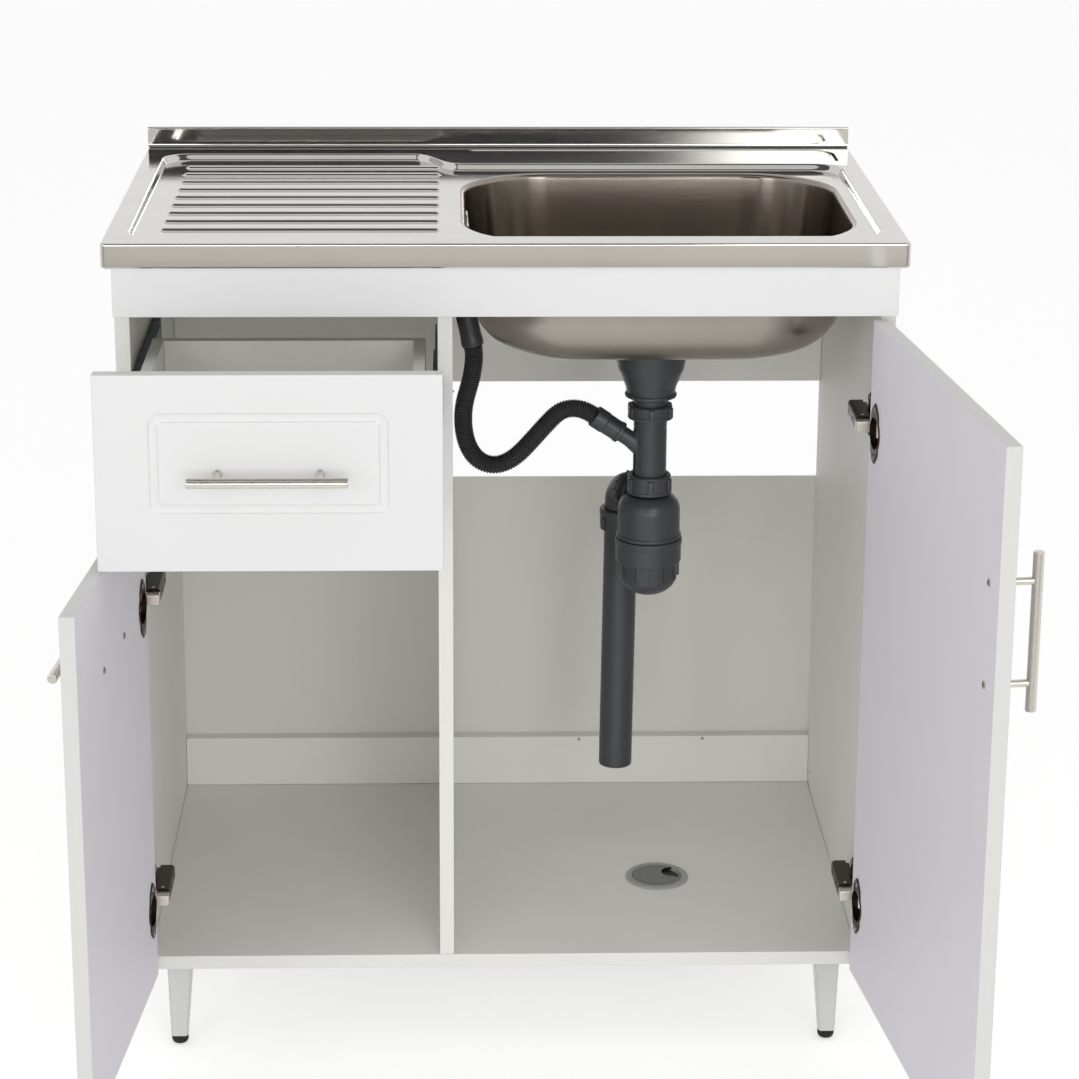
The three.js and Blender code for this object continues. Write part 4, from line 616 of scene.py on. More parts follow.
# %% [markdown]
# ### Plastics and rubber
# The waste is moulded polypropylene, which has a waxy, slightly broken highlight. The hose is a
# softer blow-moulded plastic, the cable grommet a paler grey one, and the feet are rubber. Their
# fine spark grain breaks the highlight that a perfectly smooth surface would carry.

# %% Plastic and rubber finishes


def moulded(name, colour, shade, roughness, grain, relief):
    return surfaced(
        name, colour, shade, roughness, (grain, 2), (roughness - 0.06, roughness + 0.06),
        (relief, 0.4), (25, 3),
    )


PLASTIC = moulded("polypropylene_moulded_dark_grey", "#3F4144", "#383A3D", 0.36, 0.5, 0.02)
HOSE_PLASTIC = moulded("polyethylene_blown_dark_grey", "#3A3B3C", "#333435", 0.36, 0.7, 0.02)
GROMMET_GREY = moulded("polystyrene_moulded_mid_grey", "#A6A8A6", "#9EA09E", 0.3, 0.5, 0.02)
CAP_GREY = moulded("polystyrene_moulded_deep_grey", "#7C7E7C", "#757775", 0.38, 0.5, 0.02)
# This black is the corner blocks' own colour, and it also paints shade in the grommet's opening.
BLACK_PLASTIC_AND_PAINTED_SHADE = moulded("polypropylene_moulded_black", "#1D1D1E", "#191919", 0.45, 0.5, 0.03)
RUBBER = moulded("rubber_moulded_black", "#151515", "#101010", 0.75, 0.4, 0.05)
hose.data.materials.append(HOSE_PLASTIC)
print(len(bpy.data.materials), "materials with those of the measured model")


# %% [markdown]
# ## The boards
# Sides, divider, floor, rails and back are plain boards, so their shapes come straight from the
# measured pieces. What sells them is the edge: real banded chipboard has a small radius that
# catches a bright line. Each copy gets that radius as geometry, and its narrow faces get the
# banding's finish.

# %% Boards from the measured pieces


def thin_way(form):
    """The direction through the board, from its largest face."""
    mesh = form.bmesh()
    largest = max(mesh.faces, key=lambda f: f.calc_area())
    way = np.array(largest.normal)
    mesh.free()
    return way


def banded(form, ease=0.6):
    """A board with rounded edges: finish 0 on its two large faces and 1 on its narrow ones."""
    way = thin_way(form)
    return form.eased(ease, 3).painted(lambda _, normal: 0 if abs(normal @ way) > 0.75 else 1)


def board(node, materials, body="cabinet", slot="melamine_board", ease=0.6):
    return piece(f"{node}_banded", banded(measured(node), ease), materials, body, node, slot)


for node in (
    "side_panel_left", "side_panel_right", "divider_panel", "bottom_panel",
    "rear_rail_lower", "rear_rail_upper",
):
    board(node, BOARD_SET)
board("fascia_rail", [FRONT, BANDING], slot="front_board")
board("back_panel", [HARDBOARD, HARDBOARD], slot="hardboard", ease=0.3)
for node in ("corner_block_left", "corner_block_right"):
    block_form = measured(node).eased(0.8, 3)
    piece(f"{node}_moulded", block_form, [BLACK_PLASTIC_AND_PAINTED_SHADE], node=node, slot="dark_plastic")

# %% [markdown]
# ## Turned shapes
# Nuts, cups, pads, posts and screws are all turned: a profile of radius and height goes once
# round an axis. The Screw modifier does the same, but a function keeps the profile next to the
# piece it makes. Moulded and turned edges are never sharp, so the profile's corners are rounded
# before it is turned.

# %% Turning a profile


def softened(outline, radius, steps=4, closed=True):
    """An outline with its corners rounded off, each by no more than its neighbours allow."""
    outline = [np.asarray(p, float) for p in outline]
    result = []
    count = len(outline)
    for i, here in enumerate(outline):
        if not closed and i in (0, count - 1):
            result.append(here)
            continue
        before, after = outline[i - 1] - here, outline[(i + 1) % count] - here
        reach = min(radius, np.linalg.norm(before) * 0.45, np.linalg.norm(after) * 0.45)
        start = here + before / np.linalg.norm(before) * reach
        end = here + after / np.linalg.norm(after) * reach
        for t in np.linspace(0, 1, steps + 1):
            result.append(start * (1 - t) ** 2 + here * 2 * t * (1 - t) + end * t**2)
    return result


def lathe(profile, sides=64):
    """Points of radius and height, counter-clockwise, turned about Z into a closed body."""
    points, rings = [], []
    for radius, height in profile:
        first = len(points)
        if radius < 1e-6:
            points.append((0, 0, height))
            rings.append([first])
        else:
            points += [(x, y, height) for x, y in circle(radius, sides)]
            rings.append(list(range(first, first + sides)))
    closed = len(rings[0]) > 1 or len(rings[-1]) > 1
    faces = []
    for k in range(len(rings) - (0 if closed else 1)):
        low, high = rings[k], rings[(k + 1) % len(rings)]
        for i in range(sides):
            j = (i + 1) % sides
            if len(low) == 1 and len(high) == 1:
                break
            if len(low) == 1:
                faces.append((low[0], high[j], high[i]))
            elif len(high) == 1:
                faces.append((low[i], low[j], high[0]))
            else:
                faces.append((low[i], low[j], high[j], high[i]))
    return Form(points, faces)


def spun(profile, ease, steps=3, sides=72, closed=True):
    """A profile turned about Z with its corners softened. An open one starts and ends on Z."""
    return lathe(softened(profile, ease, steps, closed), sides)


def dome(radius, low, high, ease=1.0, sides=64):
    """A solid cylinder with rounded edges at both ends."""
    return spun([(0, low), (radius, low), (radius, high), (0, high)], ease, 4, sides, closed=False)


print(len(dome(1, 0, 1, 0.2).faces), "faces on a solid cylinder with rounded edges")

# %% [markdown]
# ## Legs and feet
# The legs are square, taper towards the floor and stand slightly outward. The rubber pads under
# them are turned, with a groove where the pad meets its collar.

# %% Legs and feet
PAD = [(0, 0), (5, 0), (7.6, 1.3), (9, 4), (9, 6.9), (8.3, 7.5), (9, 8.1), (9, 9.7), (0, 9.7)]
LEG_FROM_SIDE, LEG_FROM_FRONT, LEG_SPREAD = 42, 50, 3
pad_form = spun(PAD, 0.8, 3, 40, closed=False)
for x_word, x_side in (("left", -1), ("right", 1)):
    for y_word, y_side, y_leg in (
        ("front", -1, LEG_FROM_FRONT), ("rear", 1, PANEL_DEPTH - LEG_FROM_FRONT),
    ):
        leg, foot = f"leg_{y_word}_{x_word}", f"foot_{y_word}_{x_word}"
        leg_form = measured(leg).eased(1.1, 3)
        # The legs take the darker white, painted shade under the cabinet.
        piece(f"{leg}_lacquered", leg_form, [LEG_LACQUER_SHADED], node=leg, slot="front_board")
        across = x_side * (OUTER_X - LEG_FROM_SIDE + LEG_SPREAD)
        placed_pad = pad_form.moved(across, y_leg + y_side * LEG_SPREAD)
        piece(f"{foot}_pad", placed_pad, [RUBBER], node=foot, slot="foot_rubber")

# %% [markdown]
# ## The sink
# The sink is one sheet: a rim, a shallow recess with the drainer's ribs, the bowl, a tap ledge
# and an upstand at the wall. It could be sculpted or subdivided from a cage, but steel this
# shiny shows every stray bump. So rings of points follow each bend, a triangulation keeps all
# those rings as edges, and the sheet is then given its one millimetre of thickness.

# %% Outlines and the sheets between them


def straight(start, end, count):
    """Points from one place towards another, without the last."""
    return [tuple(np.add(start, np.subtract(end, start) * k / count)) for k in range(count)]


def arc(x, y, radius, start, end, count, whole=False):
    """Points on part of a circle, in degrees, without the last one unless it is whole."""
    turns = np.radians(np.linspace(start, end, count + whole, endpoint=whole))
    return [(x + radius * math.cos(t), y + radius * math.sin(t)) for t in turns]


def cubic(pulls, t):
    """A place on the curve that four points pull."""
    shares = ((1 - t) ** 3, 3 * t * (1 - t) ** 2, 3 * t * t * (1 - t), t**3)
    return sum(share * np.asarray(pull) for share, pull in zip(shares, pulls))


def rounded_rectangle(x, y, width, depth, radius, steps, side_steps):
    """Points round a rectangle with round corners, the same count for any size."""
    arcs = []
    for across, along, turn in ((1, 1, 0), (-1, 1, 90), (-1, -1, 180), (1, -1, 270)):
        middle = x + across * (width / 2 - radius), y + along * (depth / 2 - radius)
        arcs.append(arc(*middle, radius, turn, turn + 90, steps, whole=True))
    points = []
    for here, after in zip(arcs, arcs[1:] + arcs[:1]):
        points += here[:-1] + straight(here[-1], after[0], side_steps)
    return points


def loft(rings, closed=True):
    """Joins outlines of equal count with faces that look outward when the outlines climb."""
    count = len(rings[0])
    points = [p for ring in rings for p in ring]
    faces = []
    for low in range(0, count * (len(rings) - 1), count):
        for i in range(count if closed else count - 1):
            j = (i + 1) % count
            faces.append((low + i, low + j, low + count + j, low + count + i))
    return Form(points, faces)


def plate(rings, lines=(), keep=lambda middle: True):
    """Fills the plane between rings of (x, y, z) so that every ring stays an edge of the sheet."""
    points, edges = [], []
    for path, closed in [(r, True) for r in rings] + [(line, False) for line in lines]:
        first = len(points)
        points += [tuple(float(v) for v in p) for p in path]
        edges += [(first + i, first + i + 1) for i in range(len(path) - 1)]
        if closed:
            edges.append((first + len(path) - 1, first))
    flat = [Vector(p[:2]) for p in points]
    made, _, faces, origin, _, _ = delaunay_2d_cdt(flat, edges, [], 0, 1e-5)
    heights = [points[source[0]][2] if source else 0.0 for source in origin]
    corners = [(v.x, v.y, z) for v, z in zip(made, heights)]
    return Form(corners, [f for f in faces if keep(np.mean([corners[i] for i in f], axis=0))])


print(len(rounded_rectangle(0, 0, 2, 1, 0.2, 12, 8)), "points round a bowl's outline")

# %% [markdown]
# A press draws the deck in soft steps. The recess has round corners and a smooth turn beside the
# tap ledge, where its back edge comes forward. These outlines could be drawn as curve objects,
# but as functions of an inset they give a whole family of rings that never cross.

# %% The sink's sizes and its outlines
EDGE_ROLL, RECESS_SLOPE, LEDGE_TURN = 2, 6, (-100, -42)
RECESS_SIDE, RECESS_FRONT, RECESS_BACK, RECESS_LEDGE, RECESS_CORNER = 21, 32, 39, 97, 28
RIB_COUNT, RIB_PITCH_ON_DECK, FIRST_RIB, RIB_LEFT, RIB_RIGHT = 10, 40, 53, -345.5, -70.5
CREASE_LEFT, CREASE_RIGHT, CREASE_BACK, CREASE_FRONT, CREASE_CORNER = -30, 376, 464, 404, 24
BOWL_CORNER, CORNER_SHRINK, WASTE_HOLE = 95, 0.45, 43
BACK_ROLL = 4


def recess_outline(inset):
    left, right = -SINK_HALF + RECESS_SIDE + inset, SINK_HALF - RECESS_SIDE - inset
    front, back = SINK_FRONT + RECESS_FRONT + inset, SINK_BACK - RECESS_BACK - inset
    ledge, r = SINK_BACK - RECESS_LEDGE - inset, RECESS_CORNER
    points = straight((left + r, front), (right - r, front), 50)
    points += arc(right - r, front + r, r, -90, 0, 12)
    points += straight((right, front + r), (right, ledge - r), 24)
    points += arc(right - r, ledge - r, r, 0, 90, 12)
    points += straight((right - r, ledge), (LEDGE_TURN[1], ledge), 30)
    middle = sum(LEDGE_TURN) / 2
    pulls = [(LEDGE_TURN[1], ledge), (middle, ledge), (middle, back), (LEDGE_TURN[0], back)]
    points += [tuple(cubic(pulls, t)) for t in np.arange(20) / 20]
    points += straight((LEDGE_TURN[0], back), (left + r, back), 20)
    points += arc(left + r, back - r, r, 90, 180, 12)
    points += straight((left, back - r), (left, front + r), 28)
    points += arc(left + r, front + r, r, 180, 270, 12)
    return points


def around(path, distance, cap_steps=10):
    """A loop at one distance round an open line, with round ends."""
    path = np.asarray(path, float)
    ahead = np.gradient(path, axis=0)
    ahead /= np.linalg.norm(ahead, axis=1)[:, None]
    side = np.column_stack([ahead[:, 1], -ahead[:, 0]]) * distance

    def cap(centre, way):
        facing = math.degrees(math.atan2(way[1], way[0]))
        return arc(centre[0], centre[1], distance, facing - 90, facing + 90, cap_steps)[1:]

    loop = [tuple(p) for p in path + side] + cap(path[-1], ahead[-1])
    return loop + [tuple(p) for p in (path - side)[::-1]] + cap(path[0], -ahead[0])


def at_height(points, z):
    return [(x, y, z) for x, y in points]


def deck_edge(inset):
    """The sheet's edge from the back left corner round the front to the back right corner."""
    r, back = 5 - inset, SINK_BACK - BACK_ROLL
    left, right, front = -SINK_HALF + inset, SINK_HALF - inset, SINK_FRONT + inset
    points = straight((left, back), (left, front + r), 24)
    points += arc(left + r, front + r, r, 180, 270, 6)
    points += straight((left + r, front), (right - r, front), 40)
    points += arc(right - r, front + r, r, 270, 360, 6)
    points += straight((right, front + r), (right, back), 24)
    return points + [(right, back)]


print(len(recess_outline(0)), "points round the recess,", len(deck_edge(0)), "along the edge")

# %% [markdown]
# Now every ring gets its height. The recess sinks over six millimetres, each rib of the drainer
# climbs in seven steps to a soft crest, and a shallow crease runs along the tap ledge's back and
# side. The ribs could be bumps in the finish, but they are what the eye meets first, so they
# are real.

# %% The deck with its ribs and its crease
back_edge = np.linspace(-SINK_HALF + EDGE_ROLL, SINK_HALF - EDGE_ROLL, 41)[-2:0:-1]
back_row = [(x, SINK_BACK - BACK_ROLL) for x in back_edge]
rings = [at_height(deck_edge(EDGE_ROLL) + back_row, DECK)]
for inset in (-0.9, 0, 0.5, 1.1, 1.9, 3, 4.1, 4.9, 5.5, 6, 6.6):
    share = min(max(inset / RECESS_SLOPE, 0), 1)
    sunk = share * share * (3 - 2 * share) * RECESS_DEPTH
    rings.append(at_height(recess_outline(inset), DECK - sunk))
lines = []
RIB_RINGS = ((5.6, 0), (5.0, 0.03), (4.3, 0.32), (3.5, 0.95), (2.6, 1.68), (1.7, 2.3), (0.85, 2.68))
for k in range(RIB_COUNT):
    y = SINK_FRONT + FIRST_RIB + RIB_PITCH_ON_DECK * k
    spine = [(x, y) for x in np.linspace(RIB_LEFT, RIB_RIGHT, 25)]
    rings += [at_height(around(spine, d), RECESS_FLOOR + rise) for d, rise in RIB_RINGS]
    lines.append(at_height(spine, RECESS_FLOOR + 2.8))
turn_x, turn_y = CREASE_RIGHT - CREASE_CORNER, CREASE_BACK - CREASE_CORNER
crease = straight((CREASE_LEFT, CREASE_BACK), (turn_x, CREASE_BACK), 30)
crease += arc(turn_x, turn_y, CREASE_CORNER, 90, 0, 10)
crease += straight((CREASE_RIGHT, turn_y), (CREASE_RIGHT, CREASE_FRONT), 4)
crease.append((CREASE_RIGHT, CREASE_FRONT))
for d, sink in ((4.4, 0), (3.7, 0.05), (2.8, 0.5), (1.8, 1.15), (0.9, 1.5)):
    rings.append(at_height(around(crease, d), DECK - sink))
lines.append(at_height(crease, DECK - 1.6))


def bowl_loop(width, length, radius, z):
    return at_height(rounded_rectangle(BOWL_X, BOWL_Y, width, length, radius, 12, 8), z)


def bowl_ring(inset, down):
    width, length = BOWL_WIDTH - 2 * inset, BOWL_LENGTH - 2 * inset
    return bowl_loop(width, length, BOWL_CORNER - CORNER_SHRINK * inset, RECESS_FLOOR - down)


def outside_mouth(point):
    across = abs(point[0] - BOWL_X) - (BOWL_WIDTH / 2 - BOWL_CORNER)
    along = abs(point[1] - BOWL_Y) - (BOWL_LENGTH / 2 - BOWL_CORNER)
    past = math.hypot(max(across, 0), max(along, 0)) + min(max(across, along), 0)
    return past > BOWL_CORNER - 0.1


rings += [bowl_ring(-d, 0) for d in (0, 0.45)]
deck = plate(rings, lines, keep=outside_mouth)
print(len(deck.faces), "faces on the deck")

# %% [markdown]
# The apron, the bowl and the upstand are lofts that start from the deck's own edge points, so
# the seams close exactly. The bowl's wall leans in a little as it drops, as a punch needs, and
# turns into the floor with a wide heel.

# %% The sink's apron, bowl and upstand
MOUTH_ROLL, WALL_LEAN, HEEL, HEEL_TOP, HEEL_LOW, FLOOR_DISH = 5, 0.1, 55, 84, 139, 6
UPSTAND_ROLL, HEM_Z = 3, DECK + 22.35

apron_rings = []
for turn in (0, 22, 45, 67, 90):
    angle = math.radians(turn)
    edge = deck_edge(EDGE_ROLL * (1 - math.sin(angle)))
    apron_rings.append(at_height(edge, DECK - EDGE_ROLL * (1 - math.cos(angle))))
for z, inset in ((896.5, 0), (886, 0), (876.6, 0), (875.6, 0.12), (875.1, 0.45)):
    apron_rings.append(at_height(deck_edge(inset), z))
apron = loft(apron_rings[::-1], closed=False)

profile = []
for angle in np.radians((0, 15, 30, 45, 60, 75, 90)):
    profile.append((MOUTH_ROLL * math.sin(angle), MOUTH_ROLL * (1 - math.cos(angle))))
profile += [(MOUTH_ROLL + WALL_LEAN * (down - MOUTH_ROLL), down) for down in (8, 20, 40, 60, 78)]
for angle in np.radians(np.arange(0, 91, 7.5)):
    down = HEEL_TOP + HEEL * math.sin(angle)
    wall = MOUTH_ROLL + WALL_LEAN * (down - MOUTH_ROLL)
    profile.append((wall + HEEL * (1 - math.cos(angle)), down))
bowl_wall = loft([bowl_ring(inset, down) for inset, down in profile])
foot_inset = profile[-1][0]
foot_sizes = np.array([
    BOWL_WIDTH - 2 * foot_inset, BOWL_LENGTH - 2 * foot_inset,
    BOWL_CORNER - CORNER_SHRINK * foot_inset, RECESS_FLOOR - HEEL_LOW,
])
hole_sizes = np.array([2, 2, 1, 0]) * WASTE_HOLE
hole_sizes[3] = RECESS_FLOOR - HEEL_LOW - FLOOR_DISH
floor_rings = [
    bowl_loop(*(foot_sizes * (1 - t) + hole_sizes * t)) for t in (0, 0.06, 0.4, 0.75, 0.95)
]
floor_rings.append([(BOWL_X + x, BOWL_Y + y, BOWL_LOW) for x, y in circle(WASTE_HOLE, 64)])
bowl_floor = plate(
    floor_rings, keep=lambda p: math.hypot(p[0] - BOWL_X, p[1] - BOWL_Y) > WASTE_HOLE - 0.1
)

upstand_rows = []
for turn in (0, 20, 45, 70, 90):
    angle = math.radians(turn)
    half = SINK_HALF - EDGE_ROLL * (1 - math.sin(angle))
    y = SINK_BACK - BACK_ROLL + UPSTAND_ROLL * math.sin(angle)
    z = DECK + UPSTAND_ROLL * (1 - math.cos(angle))
    upstand_rows.append([(x, y, z) for x in np.linspace(-half, half, 41)])
for z in (904, 912, 920.6):
    upstand_rows.append([(x, y, z) for x in np.linspace(-SINK_HALF, SINK_HALF, 41)])
upstand = loft(upstand_rows, closed=False)


def thickened(form, thickness):
    """Gives a sheet its thickness, away from the side it faces, and closes its edges."""
    mesh = form.bmesh()
    bmesh.ops.remove_doubles(mesh, verts=mesh.verts, dist=1e-3)
    mesh.normal_update()
    mesh.verts.index_update()
    normals = np.array([v.normal for v in mesh.verts])
    rim, rim_kinds = [], []
    for edge in mesh.edges:
        if len(edge.link_loops) == 1:
            loop = edge.link_loops[0]
            rim.append((loop.link_loop_next.vert.index, loop.vert.index))
            rim_kinds.append(loop.face.material_index)
    face = Form.of(mesh)
    count = len(face.points)
    back_kinds = [2 if kind == 1 else kind for kind in face.kinds]
    back = Form(face.points - normals * thickness, [f[::-1] for f in face.faces], back_kinds)
    walls = [(b, a, a + count, b + count) for b, a in rim]
    both = face + back
    return Form(both.points, both.faces + walls, both.kinds + rim_kinds)


# The bowl's faces take the two darker steels, painted shade inside the bowl and under it.
sheet = thickened(deck + apron + (bowl_wall + bowl_floor).kind(1) + upstand, SHEET)
sheet = sheet.cut(dome(10, -20, 20, 0.1, 48).aimed(SEAT, OUTWARD))
hem_line = [(x, SINK_BACK - 1.65, HEM_Z) for x in np.linspace(-SINK_HALF, SINK_HALF, 9)]
hem = swept(hem_line, [1.3] + [1.65] * 7 + [1.3], sides=16)
piece(
    "sink_top_pressed", sheet + hem, [STEEL, BOWL_INSIDE_SHADED, BOWL_OUTSIDE_SHADED], node="sink_top",
    slot="stainless_steel",
)

# %% [markdown]
# ## The waste and the trap
# Under the bowl hang a waste cup, a tailpipe with a branch for the overflow, a bottle trap and
# an outlet that turns down behind it. They are moulded, so nothing on them is sharp: every
# profile is turned with its corners softened. The lugs for gripping the nuts and the ribs on
# the trap's cup repeat, so a node tree sets them round the axis later.

# %% Waste cup and nuts
WASTE_FOOT, TRAP_TOP, TRAP_FOOT = 684, 575, 527


def outward(count, start=0.0):
    """Level directions, evenly spread round an upright axis."""
    return np.column_stack([circle(1, count, start), np.zeros(count)])


def waste_piece(name, form, node, materials=(PLASTIC,), **more):
    return piece(name, form, materials, node=node, slot="dark_plastic", **more)


def on_axis(form):
    return form.moved(BOWL_X, BOWL_Y)


cup_outside = [
    (16, 663), (18, 663), (18, WASTE_FOOT), (25, WASTE_FOOT), (28, 685.5), (28, 688.2), (26, 690),
    (27.5, 697), (35.5, 716), (37.4, 727), (39, 741), (40, 748.3), (56, 750),
]
cup_inside = [(56, 751.5), (38, 749.8), (36.2, 724), (24, 692), (16, 686)]
waste_form = spun(cup_outside + cup_inside, 1.6)
waste_form = waste_form.painted(lambda middle, _: 1 if middle[2] > 748.8 else 0)
waste_piece("waste_body_turned", on_axis(waste_form), "waste_body", [PLASTIC, CHROME])


def nut(outer, bore, low, high):
    """A coupling nut: a lip at its foot, a slightly smaller band and a softened top."""
    profile = [(bore, low), (outer, low), (outer, low + 3.2), (outer - 1, low + 4.2)]
    profile += [(outer - 1, high - 1.5), (outer - 2.2, high), (bore, high)]
    return spun(profile, 0.9)


waste_piece("waste_nut_turned", on_axis(nut(24.5, 18.3, 661, 676)), "waste_nut")
waste_piece("trap_nut_turned", on_axis(nut(24.25, 18.3, 577, 598)), "trap_inlet_nut")

# %% [markdown]
# The tailpipe is a tube with a fine groove, and its branch leans up towards the hose. The trap
# is a bottle: a wide body with a cup screwed in from below, and a socket for the outlet.
# Each could be one turned shape, but the branch and the socket leave sideways, so solids are
# joined and then bored through.

# %% Tailpipe and trap
pipe_profile = [
    (16, 577.3), (18, 577.3), (18, 649), (17.6, 649.6), (17.6, 650.6), (18, 651.2), (18, 660.7),
    (16, 660.7),
]
tailpipe = on_axis(spun(pipe_profile, 0.5, 2))
branch = dome(9, 4, 60, 0.6, 40).aimed(BRANCH_ROOT, BRANCH_RISE)
shoulder = lathe([(0, 14), (11.4, 14), (9, 27), (0, 27)], 40).aimed(BRANCH_ROOT, BRANCH_RISE)
tailpipe = tailpipe.joined(branch.joined(shoulder)).cut(on_axis(dome(16, 570, 670, 0.1)))
tailpipe = tailpipe.cut(dome(7, 0, 70, 0.1, 32).aimed(BRANCH_ROOT, BRANCH_RISE))
waste_piece("tailpipe_moulded", tailpipe, "tailpipe_branch")

trap_profile = [
    (31.25, TRAP_FOOT), (35.4, TRAP_FOOT), (35.4, 530.4), (33.75, 532), (33.75, 560), (31.4, 568),
    (26.5, 573.2), (23, TRAP_TOP), (19.5, TRAP_TOP), (19.5, 572.5), (24.5, 571.5), (31.25, 563),
]
trap = on_axis(spun(trap_profile, 2.4, 4, 80))
OUT = outward(1, math.radians(114))[0]
OUTLET_Z = TRAP_TOP - 8
TRAP_AXIS = np.array([BOWL_X, BOWL_Y, OUTLET_Z])
socket = dome(17, 28, 35.7, 0.6, 48).aimed(TRAP_AXIS, OUT)
socket_bore = dome(15, 10, 45, 0.1, 40).aimed(TRAP_AXIS, OUT)
trap = trap.joined(socket).cut(socket_bore).cut(on_axis(dome(30.5, 520, 560, 0.1)))
waste_piece("trap_body_moulded", trap, "trap_body", weld=1e-3)

cup_profile = [(0, 460.7)]
for angle in np.radians((15, 30, 45, 60, 75)):
    cup_profile.append((32 * math.sin(angle), 484.7 - 24 * math.cos(angle)))
cup_profile += [
    (32, 486), (32, 498.7), (34.8, 498.9), (35.6, 501), (35.6, 518.5), (36.5, 520), (36.5, 526.7),
    (29.5, 526.7), (29.5, 486), (24, 470), (0, 465.7),
]
waste_piece("trap_cup_turned", on_axis(spun(cup_profile, 1.5, 3, 80, closed=False)), "trap_cup")

# %% [markdown]
# The outlet leaves the trap level, turns down in an elbow and goes on as a long plain pipe. The
# elbow is a tube along a quarter circle, with a turned collar where it meets the trap. The pipe
# and its nut hang from the elbow's mouth with a slight lean, so they are drawn upright and then
# tilted.

# %% Elbow, outlet nut and pipe


def outlet(reach, z=OUTLET_Z):
    return np.array([BOWL_X, BOWL_Y, z]) + reach * OUT


BEND, REACH = 21, 65
elbow_line = [outlet(r) for r in np.linspace(36.05, REACH - BEND, 4, endpoint=False)]
for along, rise in arc(REACH - BEND, -BEND, BEND, 90, 0, 12, whole=True):
    elbow_line.append(outlet(along, OUTLET_Z + rise))
elbow_line += [outlet(REACH, z) for z in (545, 543, 541)]
OUT_ACROSS = np.array([-OUT[1], OUT[0], 0])
collar_profile = [(18.2, 36.4), (21.5, 36.4), (22, 38), (22, 43), (21, 45), (18.2, 45)]
elbow = swept(elbow_line, 18.5, 56, OUT_ACROSS, bore=16.5)
elbow += spun(collar_profile, 0.6, 3, 56).aimed(TRAP_AXIS, OUT)
waste_piece("outlet_elbow_moulded", elbow, "outlet_elbow", smooth=50)
HANG, OUTLET_LEAN = outlet(REACH, OUTLET_Z - 26.3), 0.6


def hung(form):
    return form.turned((0, 1, 0), OUTLET_LEAN).moved(*HANG)


nut_profile = [
    (18.8, -24.3), (22.4, -24.3), (23.2, -22.5), (23.2, -9), (24, -7), (24, -1.2), (23, -0.3),
    (18.8, -0.3),
]
waste_piece("outlet_nut_turned", hung(spun(nut_profile, 0.7)), "outlet_nut")
outlet_profile = [
    (16.9, -304), (18.2, -304), (18.5, -302.6), (18.5, -0.3), (16.5, -0.3), (16.5, -302.6),
]
waste_piece("outlet_pipe_extruded", hung(spun(outlet_profile, 0.5, 2, 80)), "outlet_pipe")

# %% [markdown]
# The strainer basket is a pressed cup with drilled holes and a small knob, and it is chromed.
# The holes could be a picture of holes, but one looks straight into the waste, so they are cut.

# %% Strainer basket
basket_profile = [
    (0, 723.8), (22, 723.8), (23.6, 724.6), (34.4, 746.6), (35, 747.6), (35, 749.4), (34.2, 749.8),
    (33.4, 749.2), (32.9, 747), (22.4, 725.8), (21.8, 725), (3.2, 725), (3.2, 743.6), (6.2, 745.2),
    (8, 747.2), (7.6, 749.2), (4, 750.2), (0, 750.4),
]
basket = spun(basket_profile, 0.7, 2, 64, closed=False)
drill = dome(2.3, 720, 730, 0.05, 14)
for x, y in [*circle(15.6, 10), *circle(9.5, 6)]:
    basket = basket.cut(drill.moved(x, y))
piece(
    "basket_strainer_pressed", on_axis(basket), [CHROME], "basket", "basket_strainer",
    "stainless_steel",
)

# %% [markdown]
# ## The overflow
# A chromed rosette covers the hole in the bowl's wall. Behind the wall an elbow turns down into
# a soft cuff, and the hose runs from there to the branch. The cuffs are a little fatter than the
# hose, with a bead at each mouth, so the joints read from a distance.

# %% Overflow parts
spigot_root = SEAT + 15 * OUTWARD
elbow_form = dome(14.5, 0.3, 7.3, 1.0, 48)
elbow_form = elbow_form.joined(dome(12, 2, 27, 3.5, 48)).aimed(SEAT, OUTWARD)
elbow_form = elbow_form.joined(dome(12, 0, 24, 0.8, 48).aimed(spigot_root, DOWNWARD))
elbow_form = elbow_form.cut(dome(7.5, -5, 24, 0.1, 32).aimed(SEAT, OUTWARD))
elbow_form = elbow_form.cut(dome(9.5, 0, 29, 0.1, 32).aimed(spigot_root, DOWNWARD))
waste_piece("overflow_elbow_moulded", elbow_form, "overflow_elbow", weld=1e-3)

pulls = (CUFF_START, CUFF_START + 35 * DOWNWARD, CUFF_END - 35 * LEAVING, CUFF_END)
cuff_path = [cubic(pulls, t) for t in np.linspace(0, 1, 41)]
cuff_sizes = np.full(41, 11.4)
cuff_sizes[:3] = (11.6, 12, 12)
cuff_sizes[-4:] = (11.9, 12, 12, 11.5)
cuff_sizes[[14, 15, 24, 25]] = 11.9
cuff = swept(cuff_path, cuff_sizes, 48, bore=9.5)
waste_piece("hose_cuff_upper_moulded", cuff, "hose_cuff_upper", smooth=50)
cuff_profile = [
    (9.3, 38), (11.6, 38), (12, 38.8), (12, 42), (11.2, 43), (11.4, 58), (12, 59), (12, 72.2),
    (11.4, 73), (7, 73), (7, 60.3), (9.3, 60.3),
]
lower = spun(cuff_profile, 0.6, 3, 48).aimed(BRANCH_ROOT, BRANCH_RISE)
waste_piece("hose_cuff_lower_moulded", lower, "hose_cuff_lower")

rosette = spun([(7, -3.3), (15, -3.3), (15, -1.3), (7, -1.3)], 0.9, 3, 64)
rosette += spun([(7, -2), (9, -2), (9, -0.5), (7, -0.5)], 0.2, 3, 64)
for turn in (0, 60, 120):
    bar = dome(0.8, -8, 8, 0.2, 12).turned((0, 1, 0), 90).turned(UP, turn)
    rosette += bar.moved(z=-2.2)
rosette = rosette.aimed(SEAT, OUTWARD)
piece("overflow_rosette_plated", rosette, [CHROME], node="overflow_rosette", slot="bright_chrome")

